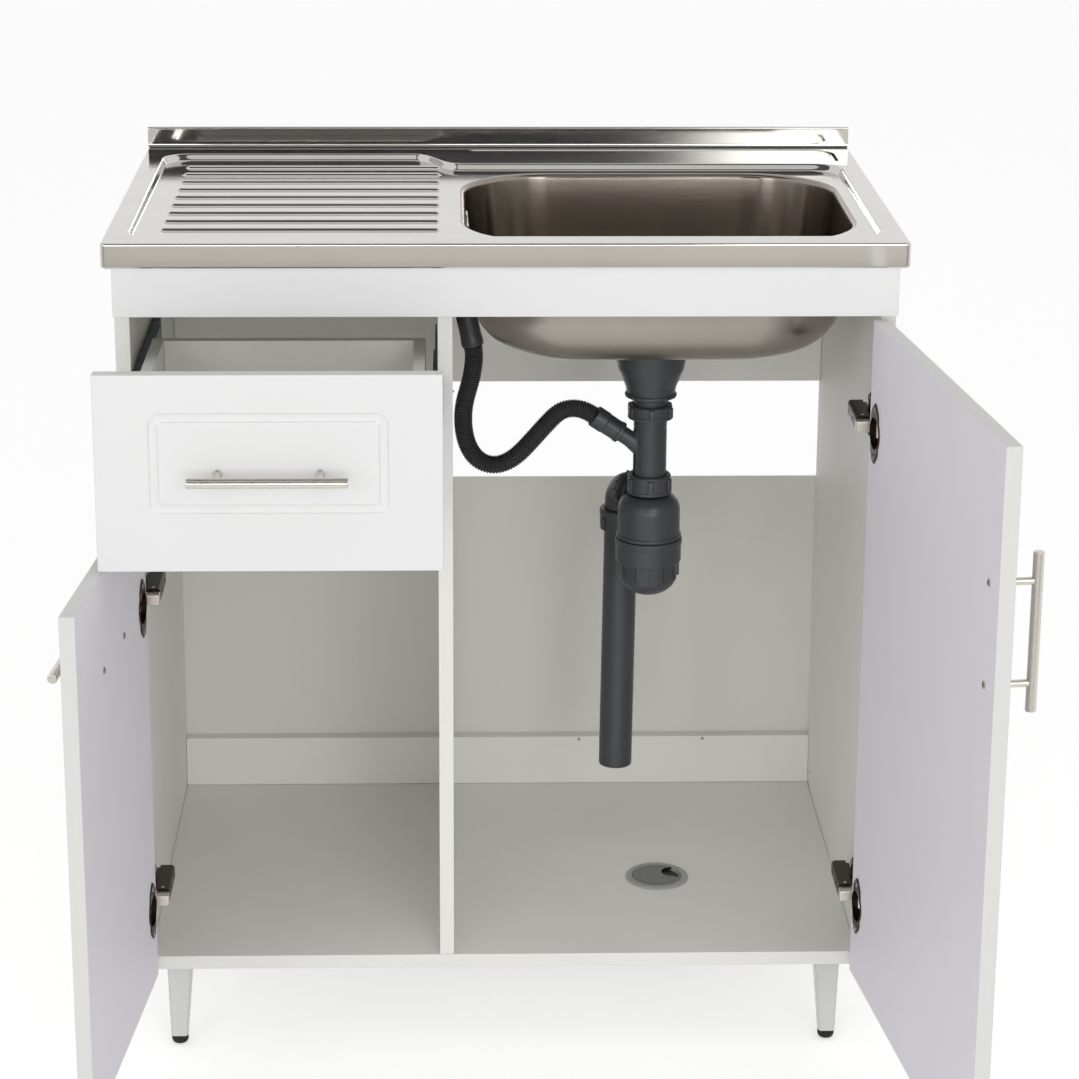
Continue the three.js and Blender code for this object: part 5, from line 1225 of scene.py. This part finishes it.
# %% [markdown]
# ## Doors, drawer front and handles
# The fronts are lacquered boards. The doors carry two 35 mm holes for the hinge cups, and the
# drawer front has a pressed frame, a shallow rounded groove that only shows by its edges. The
# handles are satin bars on two posts. Each door is drawn closed, about its hinge line, and then
# turned open as it stands in the picture, so its edges and its holes turn with it.

# %% Fronts
FRONT_SET = [FRONT, FRONT_BANDING, DOOR_INSIDE]
REVEAL, PIVOT_INSET, HINGE_EDGE, FRONT_THICK = 1.5, 8.5, 7, 15
FRONT_EDGE = OUTER_X - REVEAL
RIGHT_WIDTH, LEFT_WIDTH = FRONT_EDGE - DIVIDER_X - REVEAL, DIVIDER_X - REVEAL + FRONT_EDGE
LOWER_HINGE = LEG_HEIGHT + 84
HINGES = {
    "right": {"upper": FRONT_TOP - 112, "lower": LOWER_HINGE},
    "left": {"upper": LEFT_DOOR_TOP - 99, "lower": LOWER_HINGE},
}
CUP_X, CUP_HOLE = HINGE_EDGE - 22.5, 17.5
SIGN = {"right": 1, "left": -1}
OPEN_TURN = {"right": RIGHT_OPEN, "left": LEFT_OPEN}


def block(x, y, z):
    corners = [(a, b, c) for c in z for b in y for a in x]
    faces = [(0, 2, 3, 1), (4, 5, 7, 6), (0, 1, 5, 4), (2, 6, 7, 3), (0, 4, 6, 2), (1, 3, 7, 5)]
    return Form(corners, faces)


def opened(form, side):
    """Turns a form drawn about a closed door's hinge line to where the open door stands."""
    return form.turned(UP, OPEN_TURN[side]).moved(SIGN[side] * (OUTER_X - PIVOT_INSET), FRONT_Y)


def in_cup(form, side, z):
    """Carries a form drawn about a hinge cup's axis to its place on the closed door."""
    return form.aimed((SIGN[side] * CUP_X, FRONT_THICK, z), (0, 1, 0))


def front_kinds(_, normal):
    if normal[1] < -0.75:
        return 0
    return 2 if normal[1] > 0.75 else 1


for side, width, top in (("right", RIGHT_WIDTH, FRONT_TOP), ("left", LEFT_WIDTH, LEFT_DOOR_TOP)):
    across = sorted((SIGN[side] * HINGE_EDGE, SIGN[side] * (HINGE_EDGE - width)))
    leaf = block(across, (0, FRONT_THICK), (FRONT_BOTTOM, top)).eased(0.9, 3)
    for z in HINGES[side].values():
        leaf = leaf.cut(in_cup(dome(CUP_HOLE, -11.5, 5, 0.05, 48), side, z))
    leaf = opened(leaf.painted(front_kinds), side)
    piece(f"door_{side}_board", leaf, FRONT_SET, f"{side}_door", f"door_{side}", "front_board")

# %% [markdown]
# The drawer's front is drawn lying down, as loops round its edge and round the pressed frame, and
# is stood up afterwards. The loops of the frame sink and rise again, so the groove is rounded.

# %% The drawer's front
DRAWER_LEFT, DRAWER_RIGHT = -FRONT_EDGE, DIVIDER_X - REVEAL
DRAWER_X, DRAWER_Z = (DRAWER_LEFT + DRAWER_RIGHT) / 2, (FRONT_TOP + DRAWER_BOTTOM_EDGE) / 2
DRAWER_Y = FRONT_Y - DRAWER_OUT
FRAME_WIDE, FRAME_HIGH, FRAME_ABOVE, FRAME_CORNER = 225, 99, 10, 12
corners = [
    (DRAWER_LEFT, DRAWER_BOTTOM_EDGE), (DRAWER_RIGHT, DRAWER_BOTTOM_EDGE),
    (DRAWER_RIGHT, FRONT_TOP), (DRAWER_LEFT, FRONT_TOP),
]
outer = []
for start, end, count in zip(corners, corners[1:] + corners[:1], (20, 12, 20, 12)):
    outer += straight(start, end, count)
face_rings = [at_height(outer, 0)]
for inset, sink in (
    (-0.5, 0), (0, 0.06), (0.5, 0.3), (1.2, 0.95), (2.1, 1.4), (3.2, 1.5), (6.8, 1.5), (7.9, 1.4),
    (8.8, 0.95), (9.5, 0.3), (10, 0.06), (10.5, 0),
):
    size = FRAME_WIDE - 2 * inset, FRAME_HIGH - 2 * inset, max(FRAME_CORNER - inset * 0.8, 3)
    ring = rounded_rectangle(DRAWER_X, DRAWER_Z + FRAME_ABOVE, *size, 8, 12)
    face_rings.append(at_height(ring, -sink))
back = at_height(outer, -FRONT_THICK)
front_form = plate(face_rings) + loft([back, face_rings[0]])
front_form += Form(back, [tuple(range(len(back)))[::-1]])
front_form = front_form.turned((1, 0, 0), 90).moved(y=DRAWER_Y).eased(0.9, 3, 60)
piece(
    "drawer_front_board", front_form.painted(front_kinds), FRONT_SET, "drawer", "drawer_front",
    "front_board", smooth=40,
)

# %% [markdown]
# A handle is drawn with its bar along X and its face plane at Y = 0. The bar's ends are lightly
# domed, and each post has a small foot where it meets the board.

# %% Handles
HALF_SPAN = 48
RIGHT_HANDLE_X, RIGHT_HANDLE_Z = HINGE_EDGE - RIGHT_WIDTH + 30, FRONT_TOP - 181
LEFT_HANDLE_X, LEFT_HANDLE_Z = LEFT_WIDTH / 2 - HINGE_EDGE, LEFT_DOOR_TOP - 94.5
handle_form = dome(5, -75, 75, 1.1, 48).aimed((0, -29, 0), (1, 0, 0))
post_profile = [(0, 0.3), (4.6, 0.3), (4.6, 1.3), (3.5, 2.3), (3.5, 27), (0, 27)]
post = spun(post_profile, 0.6, 3, 32, closed=False)
for x in (-HALF_SPAN, HALF_SPAN):
    handle_form = handle_form.joined(post.aimed((x, 0, 0), (0, -1, 0)))
right_handle = handle_form.turned((0, 1, 0), 90).moved(RIGHT_HANDLE_X, 0, RIGHT_HANDLE_Z)
left_handle = handle_form.moved(LEFT_HANDLE_X, 0, LEFT_HANDLE_Z)
for name, form, finish, body in (
    ("right", opened(right_handle, "right"), NICKEL_Z, "right_door"),
    ("left", opened(left_handle, "left"), NICKEL_Y, "left_door"),
    ("drawer", handle_form.moved(DRAWER_X, DRAWER_Y, DRAWER_Z), NICKEL_X, "drawer"),
):
    piece(f"handle_{name}_bar", form, [finish], body, f"handle_{name}", "handle_nickel", weld=1e-3)

# %% [markdown]
# ## Hinges
# Each concealed hinge has a cup with a long flange on the door and an arm on a winged plate on
# the side panel. The arm is bent sheet, open towards the panel, with a bright link at its nose.
# It could be one block, but its rounded back, its slots and its screws name it.

# %% Hinge cups, arms and links


def prism(outline, low, high):
    """A flat outline, counter-clockwise, raised from one height to another."""
    count = len(outline)
    points = [(x, y, low) for x, y in outline] + [(x, y, high) for x, y in outline]
    faces = [tuple(range(count))[::-1], tuple(range(count, 2 * count))]
    for i in range(count):
        j = (i + 1) % count
        faces.append((i, j, j + count, i + count))
    return Form(points, faces)


def hinge_cup(side):
    """Drawn about the cup's axis, with the door's inner face at Z = 0 and the cup below it."""
    outline = softened([(-13, -21), (0, -33), (13, -21), (13, 21), (0, 33), (-13, 21)], 5)
    flange = prism(outline, 0.3, 1.5).eased(0.4)
    cup_profile = [
        (0, -11.2), (16, -11.2), (17.2, -10), (17.2, 1.5), (16.2, 1.5), (16.2, -9.4), (0, -10.2),
    ]
    cup = flange.cut(dome(16.2, -5, 5, 0.05, 56)) + spun(cup_profile, 0.8, 3, 56, closed=False)
    spring = dome(2.4, -8, 8, 0.8, 24).turned((1, 0, 0), 90).moved(-10.5 * side, 0, -6)
    return cup + spring.kind(1)


def arm_for(side, z):
    """The plate, saddle, arm and link of one hinge, in the cabinet's own frame."""
    wing = softened([(28, -16), (37, -24), (46, -16), (46, 16), (37, 24), (28, 16)], 3)
    wing_plate = prism(wing, 0.3, 3.3).eased(0.5)
    saddle = block((29, 60), (-6.8, 6.8), (3, 17)).eased(1.2, 3)
    outside = [(-8.5, 7), (-8.5, 18.5), (-7.9, 20.4), (-6.4, 21.6), (-4.4, 22)]
    inside = [(7.2, 7), (7.2, 18.4), (6, 20.2), (4.2, 20.8)]
    section = []
    for half in (outside, inside):
        section += half + [(-a, b) for a, b in half[::-1]]
    arm = prism([(b, a) for a, b in section], 2, 62)
    arm = arm.placed(lambda x, y, z: (z, y, x), inside_out=True).eased(0.35)
    slot = dome(2.6, 15, 30, 0.05, 24)
    arm = arm.cut(slot.moved(52, 0, 0)).cut(slot.moved(22, 0, 0))
    nose = block((1.5, 14), (-7, 7), (9, 20.6)).eased(1.5, 3)
    link = block((-10.5, 1), (-6, 6), (5, 22.2)).eased(1.6, 3).kind(1)
    rivet = dome(1.8, -8.9, 8.9, 0.5, 20).turned((1, 0, 0), 90).moved(6, 0, 14.5).kind(1)
    whole = wing_plate + saddle + arm + nose + link + rivet
    # The drawing's X runs back, its Y up and its Z off the panel into the cabinet.
    return whole.placed(lambda x, y, rise: (side * (INNER_X - rise), x, z + y), side > 0)


for word, side in SIGN.items():
    for level, z in HINGES[word].items():
        name = f"{word}_{level}"
        cup_form = opened(in_cup(hinge_cup(side), word, z), word)
        piece(
            f"hinge_cup_{name}_pressed", cup_form, [HINGE, LINK], f"{word}_door",
            f"hinge_cup_{name}", "hinge_nickel",
        )
        piece(
            f"hinge_arm_{name}_pressed", arm_for(side, z), [HINGE, LINK], "cabinet",
            f"hinge_arm_{name}", "hinge_nickel", smooth=40,
        )

# %% [markdown]
# ## The drawer and its slides
# The drawer is a plain box of white board behind its front. It runs on ball-bearing slides of
# three nested channels, which pull out by halves. A slide could be three flat bars, but its
# rolled lips and the step between members show from the front, so each member is a folded
# strip with rounded corners.

# %% Drawer box
for node in ("drawer_side_left", "drawer_side_right", "drawer_back"):
    board(node, BOARD_SET, body="drawer")
board("drawer_bottom", [HARDBOARD], body="drawer", slot="hardboard", ease=0.3)

SLIDE_Z, SLIDE_LENGTH = 742, 300


def channel(web, tip, height, y):
    """A folded strip: its web stands off the board, its lips reach out to the tip."""
    t, low, high = 1.2, SLIDE_Z - height / 2, SLIDE_Z + height / 2
    inner = web + t if tip > web else web - t
    section = [
        (tip, low), (tip, low + t), (inner, low + t), (inner, high - t), (tip, high - t),
        (tip, high), (web, high), (web, low),
    ]
    section = softened(section, 2.0)
    strip = prism(section[::-1] if tip < web else section, 0, SLIDE_LENGTH)
    return strip.placed(lambda off, z, along: (off, y + along, z), inside_out=True)


MEMBERS = (
    ("outer", 0.3, 9.2, 45, 2, "cabinet"),
    ("middle", 1.9, 10.8, 41.8, 2 - DRAWER_OUT / 2, "slide_member"),
    ("inner", 12.4, 3.5, 38.6, 2 - DRAWER_OUT, "drawer"),
)
for side, face, way in (("left", -INNER_X, 1), ("right", DIVIDER_X, -1)):
    for name, web, tip, height, y, body in MEMBERS:
        strip = channel(web, tip, height, y)
        strip = strip.placed(lambda off, back, z: (face + way * off, back, z), way < 0)
        node = f"slide_{name}_{side}"
        rides = f"{side}_{body}" if body == "slide_member" else body
        piece(f"{node}_rolled", strip, [ZINC], rides, node, "slide_zinc")

# %% [markdown]
# ## The cable grommet
# A round plastic grommet sits in the floor of the cabinet. Its cap turns in the ring and has a
# comma-shaped opening for a cable. Both are small, but the dark comma is what the eye finds. Its
# dark is painted shade: a black sheet just under the cap and black walls round the cut.

# %% Grommet
GROMMET, CAP_TURN = (174, 191, LEG_HEIGHT + BOARD), 12
ring_points = [
    (27.7, -14), (29.7, -14), (29.7, 0.3), (35, 0.3), (35, 1.1), (33.6, 2.2), (31.6, 2.5),
    (28.2, 2.5), (27.7, 2.1), (27.7, -0.8), (25.7, -0.8), (25.7, -2), (27.7, -2),
]
ring_form = spun(ring_points, 0.5, 2)
# A black sheet just under the cap: painted shade in the hole.
hole_shade_sheet = dome(27.9, -1.8, -0.95, 0.2, 48).kind(1)
piece(
    "grommet_ring_moulded", (ring_form + hole_shade_sheet).moved(*GROMMET), [GROMMET_GREY, BLACK_PLASTIC_AND_PAINTED_SHADE],
    node="grommet_ring", slot="grommet_plastic",
)
lid_points = [
    (0, -0.5), (27.4, -0.5), (27.4, 1.7), (26.7, 2.5), (24, 2.5), (23.6, 2.0), (22.8, 2.0),
    (22.4, 2.5), (0, 2.5),
]
lid = spun(lid_points, 0.3, 2, 80, closed=False)
for radius, x, y in ((12, 18.9, 4.7), (9, 23.3, -1)):
    lid = lid.cut(dome(radius, -3, 6, 0.05, 48).moved(x, y))


def painted_shade_on_opening_wall(middle, normal):
    """Painted shade, a black finish, on the upright walls of the opening, but not on the cap's own
    rim.
    """
    return 1 if abs(normal[2]) < 0.3 and math.hypot(middle[0], middle[1]) < 27 else 0


lid = lid.painted(painted_shade_on_opening_wall).turned(UP, CAP_TURN).moved(*GROMMET)
piece(
    "grommet_cap_moulded", lid, [CAP_GREY, BLACK_PLASTIC_AND_PAINTED_SHADE], "cable_cap", "grommet_cap",
    "grommet_plastic", weld=1e-3,
)

# %% [markdown]
# ## What repeats
# Screws, nails, the ribs of the trap's cup, the lugs of the nuts and the teeth of the elbow's
# collar are one shape each, set many times. Copying them in a loop would work, but a small node
# tree keeps it in one place: it takes points that each say which way they face and which way is
# up, sets the pattern on every point with a little chance in its turn, makes real geometry of
# it and gives it its finish.

# %% A node tree that sets pieces on points


def piece_setter():
    tree = bpy.data.node_groups.new("set_pieces_on_points", "GeometryNodeTree")
    for name, kind in (
        ("Places", "Geometry"), ("Pattern", "Object"), ("Finish", "Material"),
        ("Largest turn", "Float"), ("Seed", "Int"),
    ):
        tree.interface.new_socket(name, in_out="INPUT", socket_type=f"NodeSocket{kind}")
    tree.interface.new_socket("Pieces", in_out="OUTPUT", socket_type="NodeSocketGeometry")
    given = put(tree, "NodeGroupInput").outputs

    def add(kind, links={}, settings={}, values={}, output=0):
        """Adds a node and returns one of its outputs."""
        return put(tree, kind, settings, links, values).outputs[output]

    ways = {}
    for word in ("facing", "upward"):
        kind = {"data_type": "FLOAT_VECTOR"}
        ways[word] = add("GeometryNodeInputNamedAttribute", {}, kind, {"Name": word})
    align = "FunctionNodeAlignRotationToVector"
    faced = add(align, {"Vector": ways["facing"]}, {"axis": "Z"})
    upright = {"axis": "Y", "pivot_axis": "Z"}
    stood = add(align, {"Rotation": faced, "Vector": ways["upward"]}, upright)
    largest = given["Largest turn"]
    least = add("ShaderNodeMath", {0: largest}, {"operation": "MULTIPLY"}, {1: -1.0})
    limits = {2: least, 3: largest, "Seed": given["Seed"]}
    chance = add("FunctionNodeRandomValue", limits, {"data_type": "FLOAT"}, output=1)
    spin = add("FunctionNodeEulerToRotation", {"Euler": add("ShaderNodeCombineXYZ", {2: chance})})
    both = {"Rotation": stood, "Rotate By": spin}
    turned = add("FunctionNodeRotateRotation", both, {"rotation_space": "LOCAL"})
    pattern = add("GeometryNodeObjectInfo", {"Object": given["Pattern"]}, output="Geometry")
    wiring = {"Points": given["Places"], "Instance": pattern, "Rotation": turned}
    copies = add("GeometryNodeInstanceOnPoints", wiring)
    real = add("GeometryNodeRealizeInstances", {"Geometry": copies})
    done = add("GeometryNodeSetMaterial", {"Geometry": real, "Material": given["Finish"]})
    put(tree, "NodeGroupOutput", links={"Pieces": done})
    return tree


SETTER = piece_setter()
print(len(SETTER.nodes), "nodes in the tree that sets pieces")

# %% [markdown]
# The tree needs an object to work on, so the places become a small mesh of loose points, each
# with two directions. The modifier's result is copied to a plain mesh, which can ride on a moving
# body, and the modifier is taken away again.

# %% Setting a pattern on its places


def set_on_points(name, pattern, places, material, body="cabinet", turn=0.0, seed=7):
    """Each place is a point, the way it faces and the way that is up, in drawing millimetres."""
    sample = bpy.data.objects.new("pattern", joined_mesh("pattern", pattern, lambda p: p * MM))
    points_mesh = bpy.data.meshes.new("places")
    points_mesh.from_pydata([tuple(to_frame(p)[0]) for p, _, _ in places], [], [])
    for index, word in ((1, "facing"), (2, "upward")):
        ways = np.array([place[index] for place in places], float)
        attribute = points_mesh.attributes.new(word, "FLOAT_VECTOR", "POINT")
        attribute.data.foreach_set("vector", ways.ravel())
    carrier = in_scene("places", points_mesh)
    modifier = carrier.modifiers.new("set_pieces", "NODES")
    modifier.node_group = SETTER
    values = {"Pattern": sample, "Finish": material, "Largest turn": turn, "Seed": seed}
    for item in SETTER.interface.items_tree:
        if item.in_out == "INPUT" and item.name in values:
            modifier[item.identifier] = values[item.name]
    mesh = evaluated_mesh(carrier)
    carrier.modifiers.remove(modifier)
    for spare in (carrier, sample):
        bpy.data.objects.remove(spare)
    mesh.name = name
    mounted(name, mesh, body)
    print(f"{name}: {len(places)} copies")

# %% [markdown]
# The patterns themselves are small: a domed screw with a cross in its head, a nail head, a rib,
# a lug and a tooth. Where a hinged door carries a screw, the point is turned with the door.

# %% Screws
screw_head = lathe(
    [(0, -0.5), (3.7, -0.5), (3.7, 0.25), (3.2, 0.9), (2.2, 1.35), (1.0, 1.55), (0, 1.6)], 28
)
CROSS_LONG, CROSS_WIDE = 2.1, 0.475
for x, y in ((CROSS_LONG, CROSS_WIDE), (CROSS_WIDE, CROSS_LONG)):
    screw_head = screw_head.cut(block((-x, x), (-y, y), (0.6, 3)))


def on_door(word, x, y, z):
    """A place on the inside of a closed door's drawing, turned to where the open door stands."""
    base = opened(Form([(x, y, z)], []), word).points[0]
    return base, Form([(0, 1, 0)], []).turned(UP, OPEN_TURN[word]).points[0], UP


ends = (-HALF_SPAN, HALF_SPAN)
handle_screws = {
    "right": [(RIGHT_HANDLE_X, FRONT_THICK, RIGHT_HANDLE_Z + up) for up in ends],
    "left": [(LEFT_HANDLE_X + off, FRONT_THICK, LEFT_HANDLE_Z) for off in ends],
}
for word, side in SIGN.items():
    cup_places, arm_places = [], []
    for z in HINGES[word].values():
        cup_places += [on_door(word, side * CUP_X, FRONT_THICK + 1.5, z + up) for up in (-25, 25)]
        for rise, y, up in ((3.3, 37, -17.5), (3.3, 37, 17.5), (17, 22, 0), (17, 52, 0)):
            arm_places.append(((side * (INNER_X - rise), y, z + up), (-side, 0, 0), UP))
    handle_places = [on_door(word, *place) for place in handle_screws[word]]
    for name, places, body, seed in (
        ("hinge_cup", cup_places, f"{word}_door", 3), ("handle", handle_places, f"{word}_door", 5),
        ("hinge_arm", arm_places, "cabinet", 9),
    ):
        name = f"{name}_screws_{word}"
        set_on_points(name, screw_head, places, SCREW, body, 0.7, seed)

# %% [markdown]
# The trap's cup has upright ribs, the nuts have lugs for the hand and the elbow's collar has
# small teeth. The outlet's nut hangs with its pipe, so its lugs lean with it.

# %% Ribs, lugs and teeth
RIB_MIDDLE = np.array([BOWL_X, BOWL_Y, 490.7])
cup_rib = block((-1, 1), (-9, 9), (-1.5, 2)).eased(0.6)
rib_places = [(RIB_MIDDLE + 32 * out, out, UP) for out in outward(12)]
set_on_points("trap_cup_ribs", cup_rib, rib_places, PLASTIC)


def lugs(name, radius, low, high, centre=(BOWL_X, BOWL_Y, 0), lean=0.0):
    half = (high - low) / 2
    lug = block((-3, 3), (-half, half), (-2, 2.7)).eased(1.2, 3)
    places = []
    for out in outward(6, math.pi / 6):
        point = Form([radius * out + (0, 0, low + half)], []).turned((0, 1, 0), lean)
        places.append((point.moved(*centre).points[0], out, UP))
    set_on_points(name, lug, places, PLASTIC)


lugs("waste_nut_lugs", 23.4, 662.5, 674.5)
lugs("trap_nut_lugs", 23.2, 580, 595)
lugs("outlet_nut_lugs", 22.6, -23, -9.5, HANG, OUTLET_LEAN)

tooth = block((-1.3, 1.3), (-3.2, 3.2), (-1.5, 1.3)).eased(0.6)
tooth_places = []
for along, rise in circle(1, 16, math.pi / 16):
    out = along * OUT_ACROSS + rise * np.array(UP)
    tooth_places.append((TRAP_AXIS + 40.6 * OUT + 22 * out, out, OUT))
set_on_points("elbow_collar_teeth", tooth, tooth_places, PLASTIC)

# %% [markdown]
# Small nails hold the thin back panel to the boards it covers, in upright rows along its sides
# and the divider and in two level rows along the lower rail. Inside, two more show on that
# rail's front and one beside it on the side panel.

# %% Nails
nail_head = lathe([(0, -0.3), (1.7, -0.3), (1.8, 0.1), (1.4, 0.35), (0, 0.45)], 16)
back_face = float(measured("back_panel").points[:, 1].max())
nails_at = [
    (x, z) for x in (-OUTER_X + 8, DIVIDER_X + BOARD / 2, OUTER_X - 8)
    for z in np.arange(FRONT_BOTTOM + 30, 800, 118)
]
nails_at += [(x, FRONT_BOTTOM + up) for x in np.arange(-300, 330, 102) for up in (8, 60)]
nail_places = [((x, back_face, z), (0, 1, 0), UP) for x, z in nails_at]
set_on_points(
    "back_panel_nails", nail_head, nail_places, SCREW, turn=3.1, seed=2
)
rail_face = PANEL_DEPTH - BOARD
mark_places = [((x, rail_face, FRONT_BOTTOM + 72), (0, -1, 0), UP) for x in (97, 246)]
mark_places.append(((INNER_X, rail_face - 22, FRONT_BOTTOM + 36), (-1, 0, 0), UP))
set_on_points("rail_nails", nail_head, mark_places, SCREW, turn=3.1, seed=4)


# %% [markdown]
# ## Floor and light
# The unit stands on a plain white floor in a bright studio. The whites need a light that is
# nearly the same from all sides, and the polished steel needs something to reflect. One large
# lamp would give the first and spoil the second. So there are four soft lamps, one above the
# unit, one low behind the camera and one on each side. Only mirrors see the three cards: a dark
# one behind the camera, a grey one overhead and a pale one on the floor. The upstand and the tap
# ledge mirror the cards, and the drainer mirrors the white behind the unit. To the camera and to
# mirrors the rest of the room is white.

# %% Floor


def flat_sheet(name, corners, material):
    """One face between four corners in metres, which is no part of the object."""
    mesh = bpy.data.meshes.new(name)
    mesh.from_pydata(corners, [], [(0, 1, 2, 3)])
    mesh.materials.append(material)
    obj = in_scene(name, mesh)
    return obj


def seen_or_mirrored(tree):
    """One where the camera or a mirror looks straight at the surface, and nothing elsewhere."""
    rays = put(tree, "ShaderNodeLightPath").outputs
    either = {0: rays["Is Camera Ray"], 1: rays["Is Glossy Ray"]}
    return put(tree, "ShaderNodeMath", {"operation": "ADD", "use_clamp": True}, either).outputs[0]


FLOOR_LIFT, ROOM_LIGHT = 0.45, 0.55
white = linear("#FFFFFF")
floor_paint, floor_tree, floor_shader = start_finish(
    "floor_matt_white", "#F4F4F4", 0.9, **{"Emission Color": white}
)
shown = {0: seen_or_mirrored(floor_tree)}
lift = put(floor_tree, "ShaderNodeMath", {"operation": "MULTIPLY"}, shown, {1: FLOOR_LIFT})
floor_tree.links.new(lift.outputs[0], floor_shader.inputs["Emission Strength"])
flat_sheet("floor", [(-30, -8, 0), (30, -8, 0), (30, 40, 0), (-30, 40, 0)], floor_paint)

# %% [markdown]
# The cards are plain matt sheets. The camera doesn't see them and they throw no shadow, so they
# can stand anywhere. A photographed room would give the steel something to mirror too, but three
# plain greys are enough: dark beside pale at its bends is what makes it read as polished.

# %% Cards for the steel to mirror


def card(name, colour, left, right, front, back):
    """A card that only mirrors see. Its front and back edges are a Y and a Z, all in mm."""
    corners = [(left, *front), (right, *front), (right, *back), (left, *back)]
    corners = [tuple(to_frame(corner_point)[0]) for corner_point in corners]
    obj = flat_sheet(name, corners, start_finish(f"{name}_cloth", colour, 0.9)[0])
    obj.visible_camera = obj.visible_diffuse = obj.visible_shadow = False


card("card_front", "#1C1C1D", -1500, 540, (-3700, 1300), (-3700, 3400))
card("card_ceiling", "#6A6864", -2500, 1500, (-3700, 3400), (900, 4300))
card("card_floor", "#C4BFB9", -4000, 4000, (-8000, 3), (-1600, 3))

# %% [markdown]
# Each lamp is a soft rectangle, as a photographer's box light is. A point light would be simpler,
# but its shadows would be hard and its mirror image a spark.

# %% Lamps


def lamp(name, place, target, size, watts):
    """A soft rectangular lamp at a place, facing a target, both in drawing millimetres."""
    light = bpy.data.lights.new(name, "AREA")
    light.shape, light.energy = "RECTANGLE", watts
    light.size, light.size_y = size
    start, end = (Vector(to_frame(p)[0]) for p in (place, target))
    aim = (end - start).to_track_quat("-Z", "Y").to_matrix().to_4x4()
    in_scene(name, light).matrix_world = Matrix.Translation(start) @ aim


lamp("lamp_above", (-300, -1500, 3300), (0, 200, 500), (2.6, 1.2), 7)
lamp("lamp_low", (0, -5200, 950), (0, 200, 450), (3.4, 1.3), 48)
lamp("lamp_left", (-2900, -4600, 1700), (0, 100, 400), (1.6, 2.4), 31)
lamp("lamp_right", (1750, -5100, 2100), (0, 100, 400), (2.0, 3.0), 44)

# %% [markdown]
# The room has two whites: a clean one for the camera and for mirrors, and a weaker one for
# everything else, so that it can look white and still leave the shading to the lamps.

# %% The room
world = bpy.data.worlds.new("studio")
bpy.context.scene.world = world
world.use_nodes = True
sky = world.node_tree
sky.nodes.clear()
shades = {0: seen_or_mirrored(sky)}
for index, colour, strength in ((1, linear("#FAFAFA"), ROOM_LIGHT), (2, white, 1.0)):
    values = {"Color": colour, "Strength": strength}
    shades[index] = put(sky, "ShaderNodeBackground", values=values).outputs[0]
room = put(sky, "ShaderNodeMixShader", links=shades)
put(sky, "ShaderNodeOutputWorld", links={"Surface": room.outputs[0]})
print(len(bpy.data.lights), "lamps, and a room that is white to the camera")

# %% [markdown]
# ## Last look at the size
# The built unit has to fill the same box as the measured one.
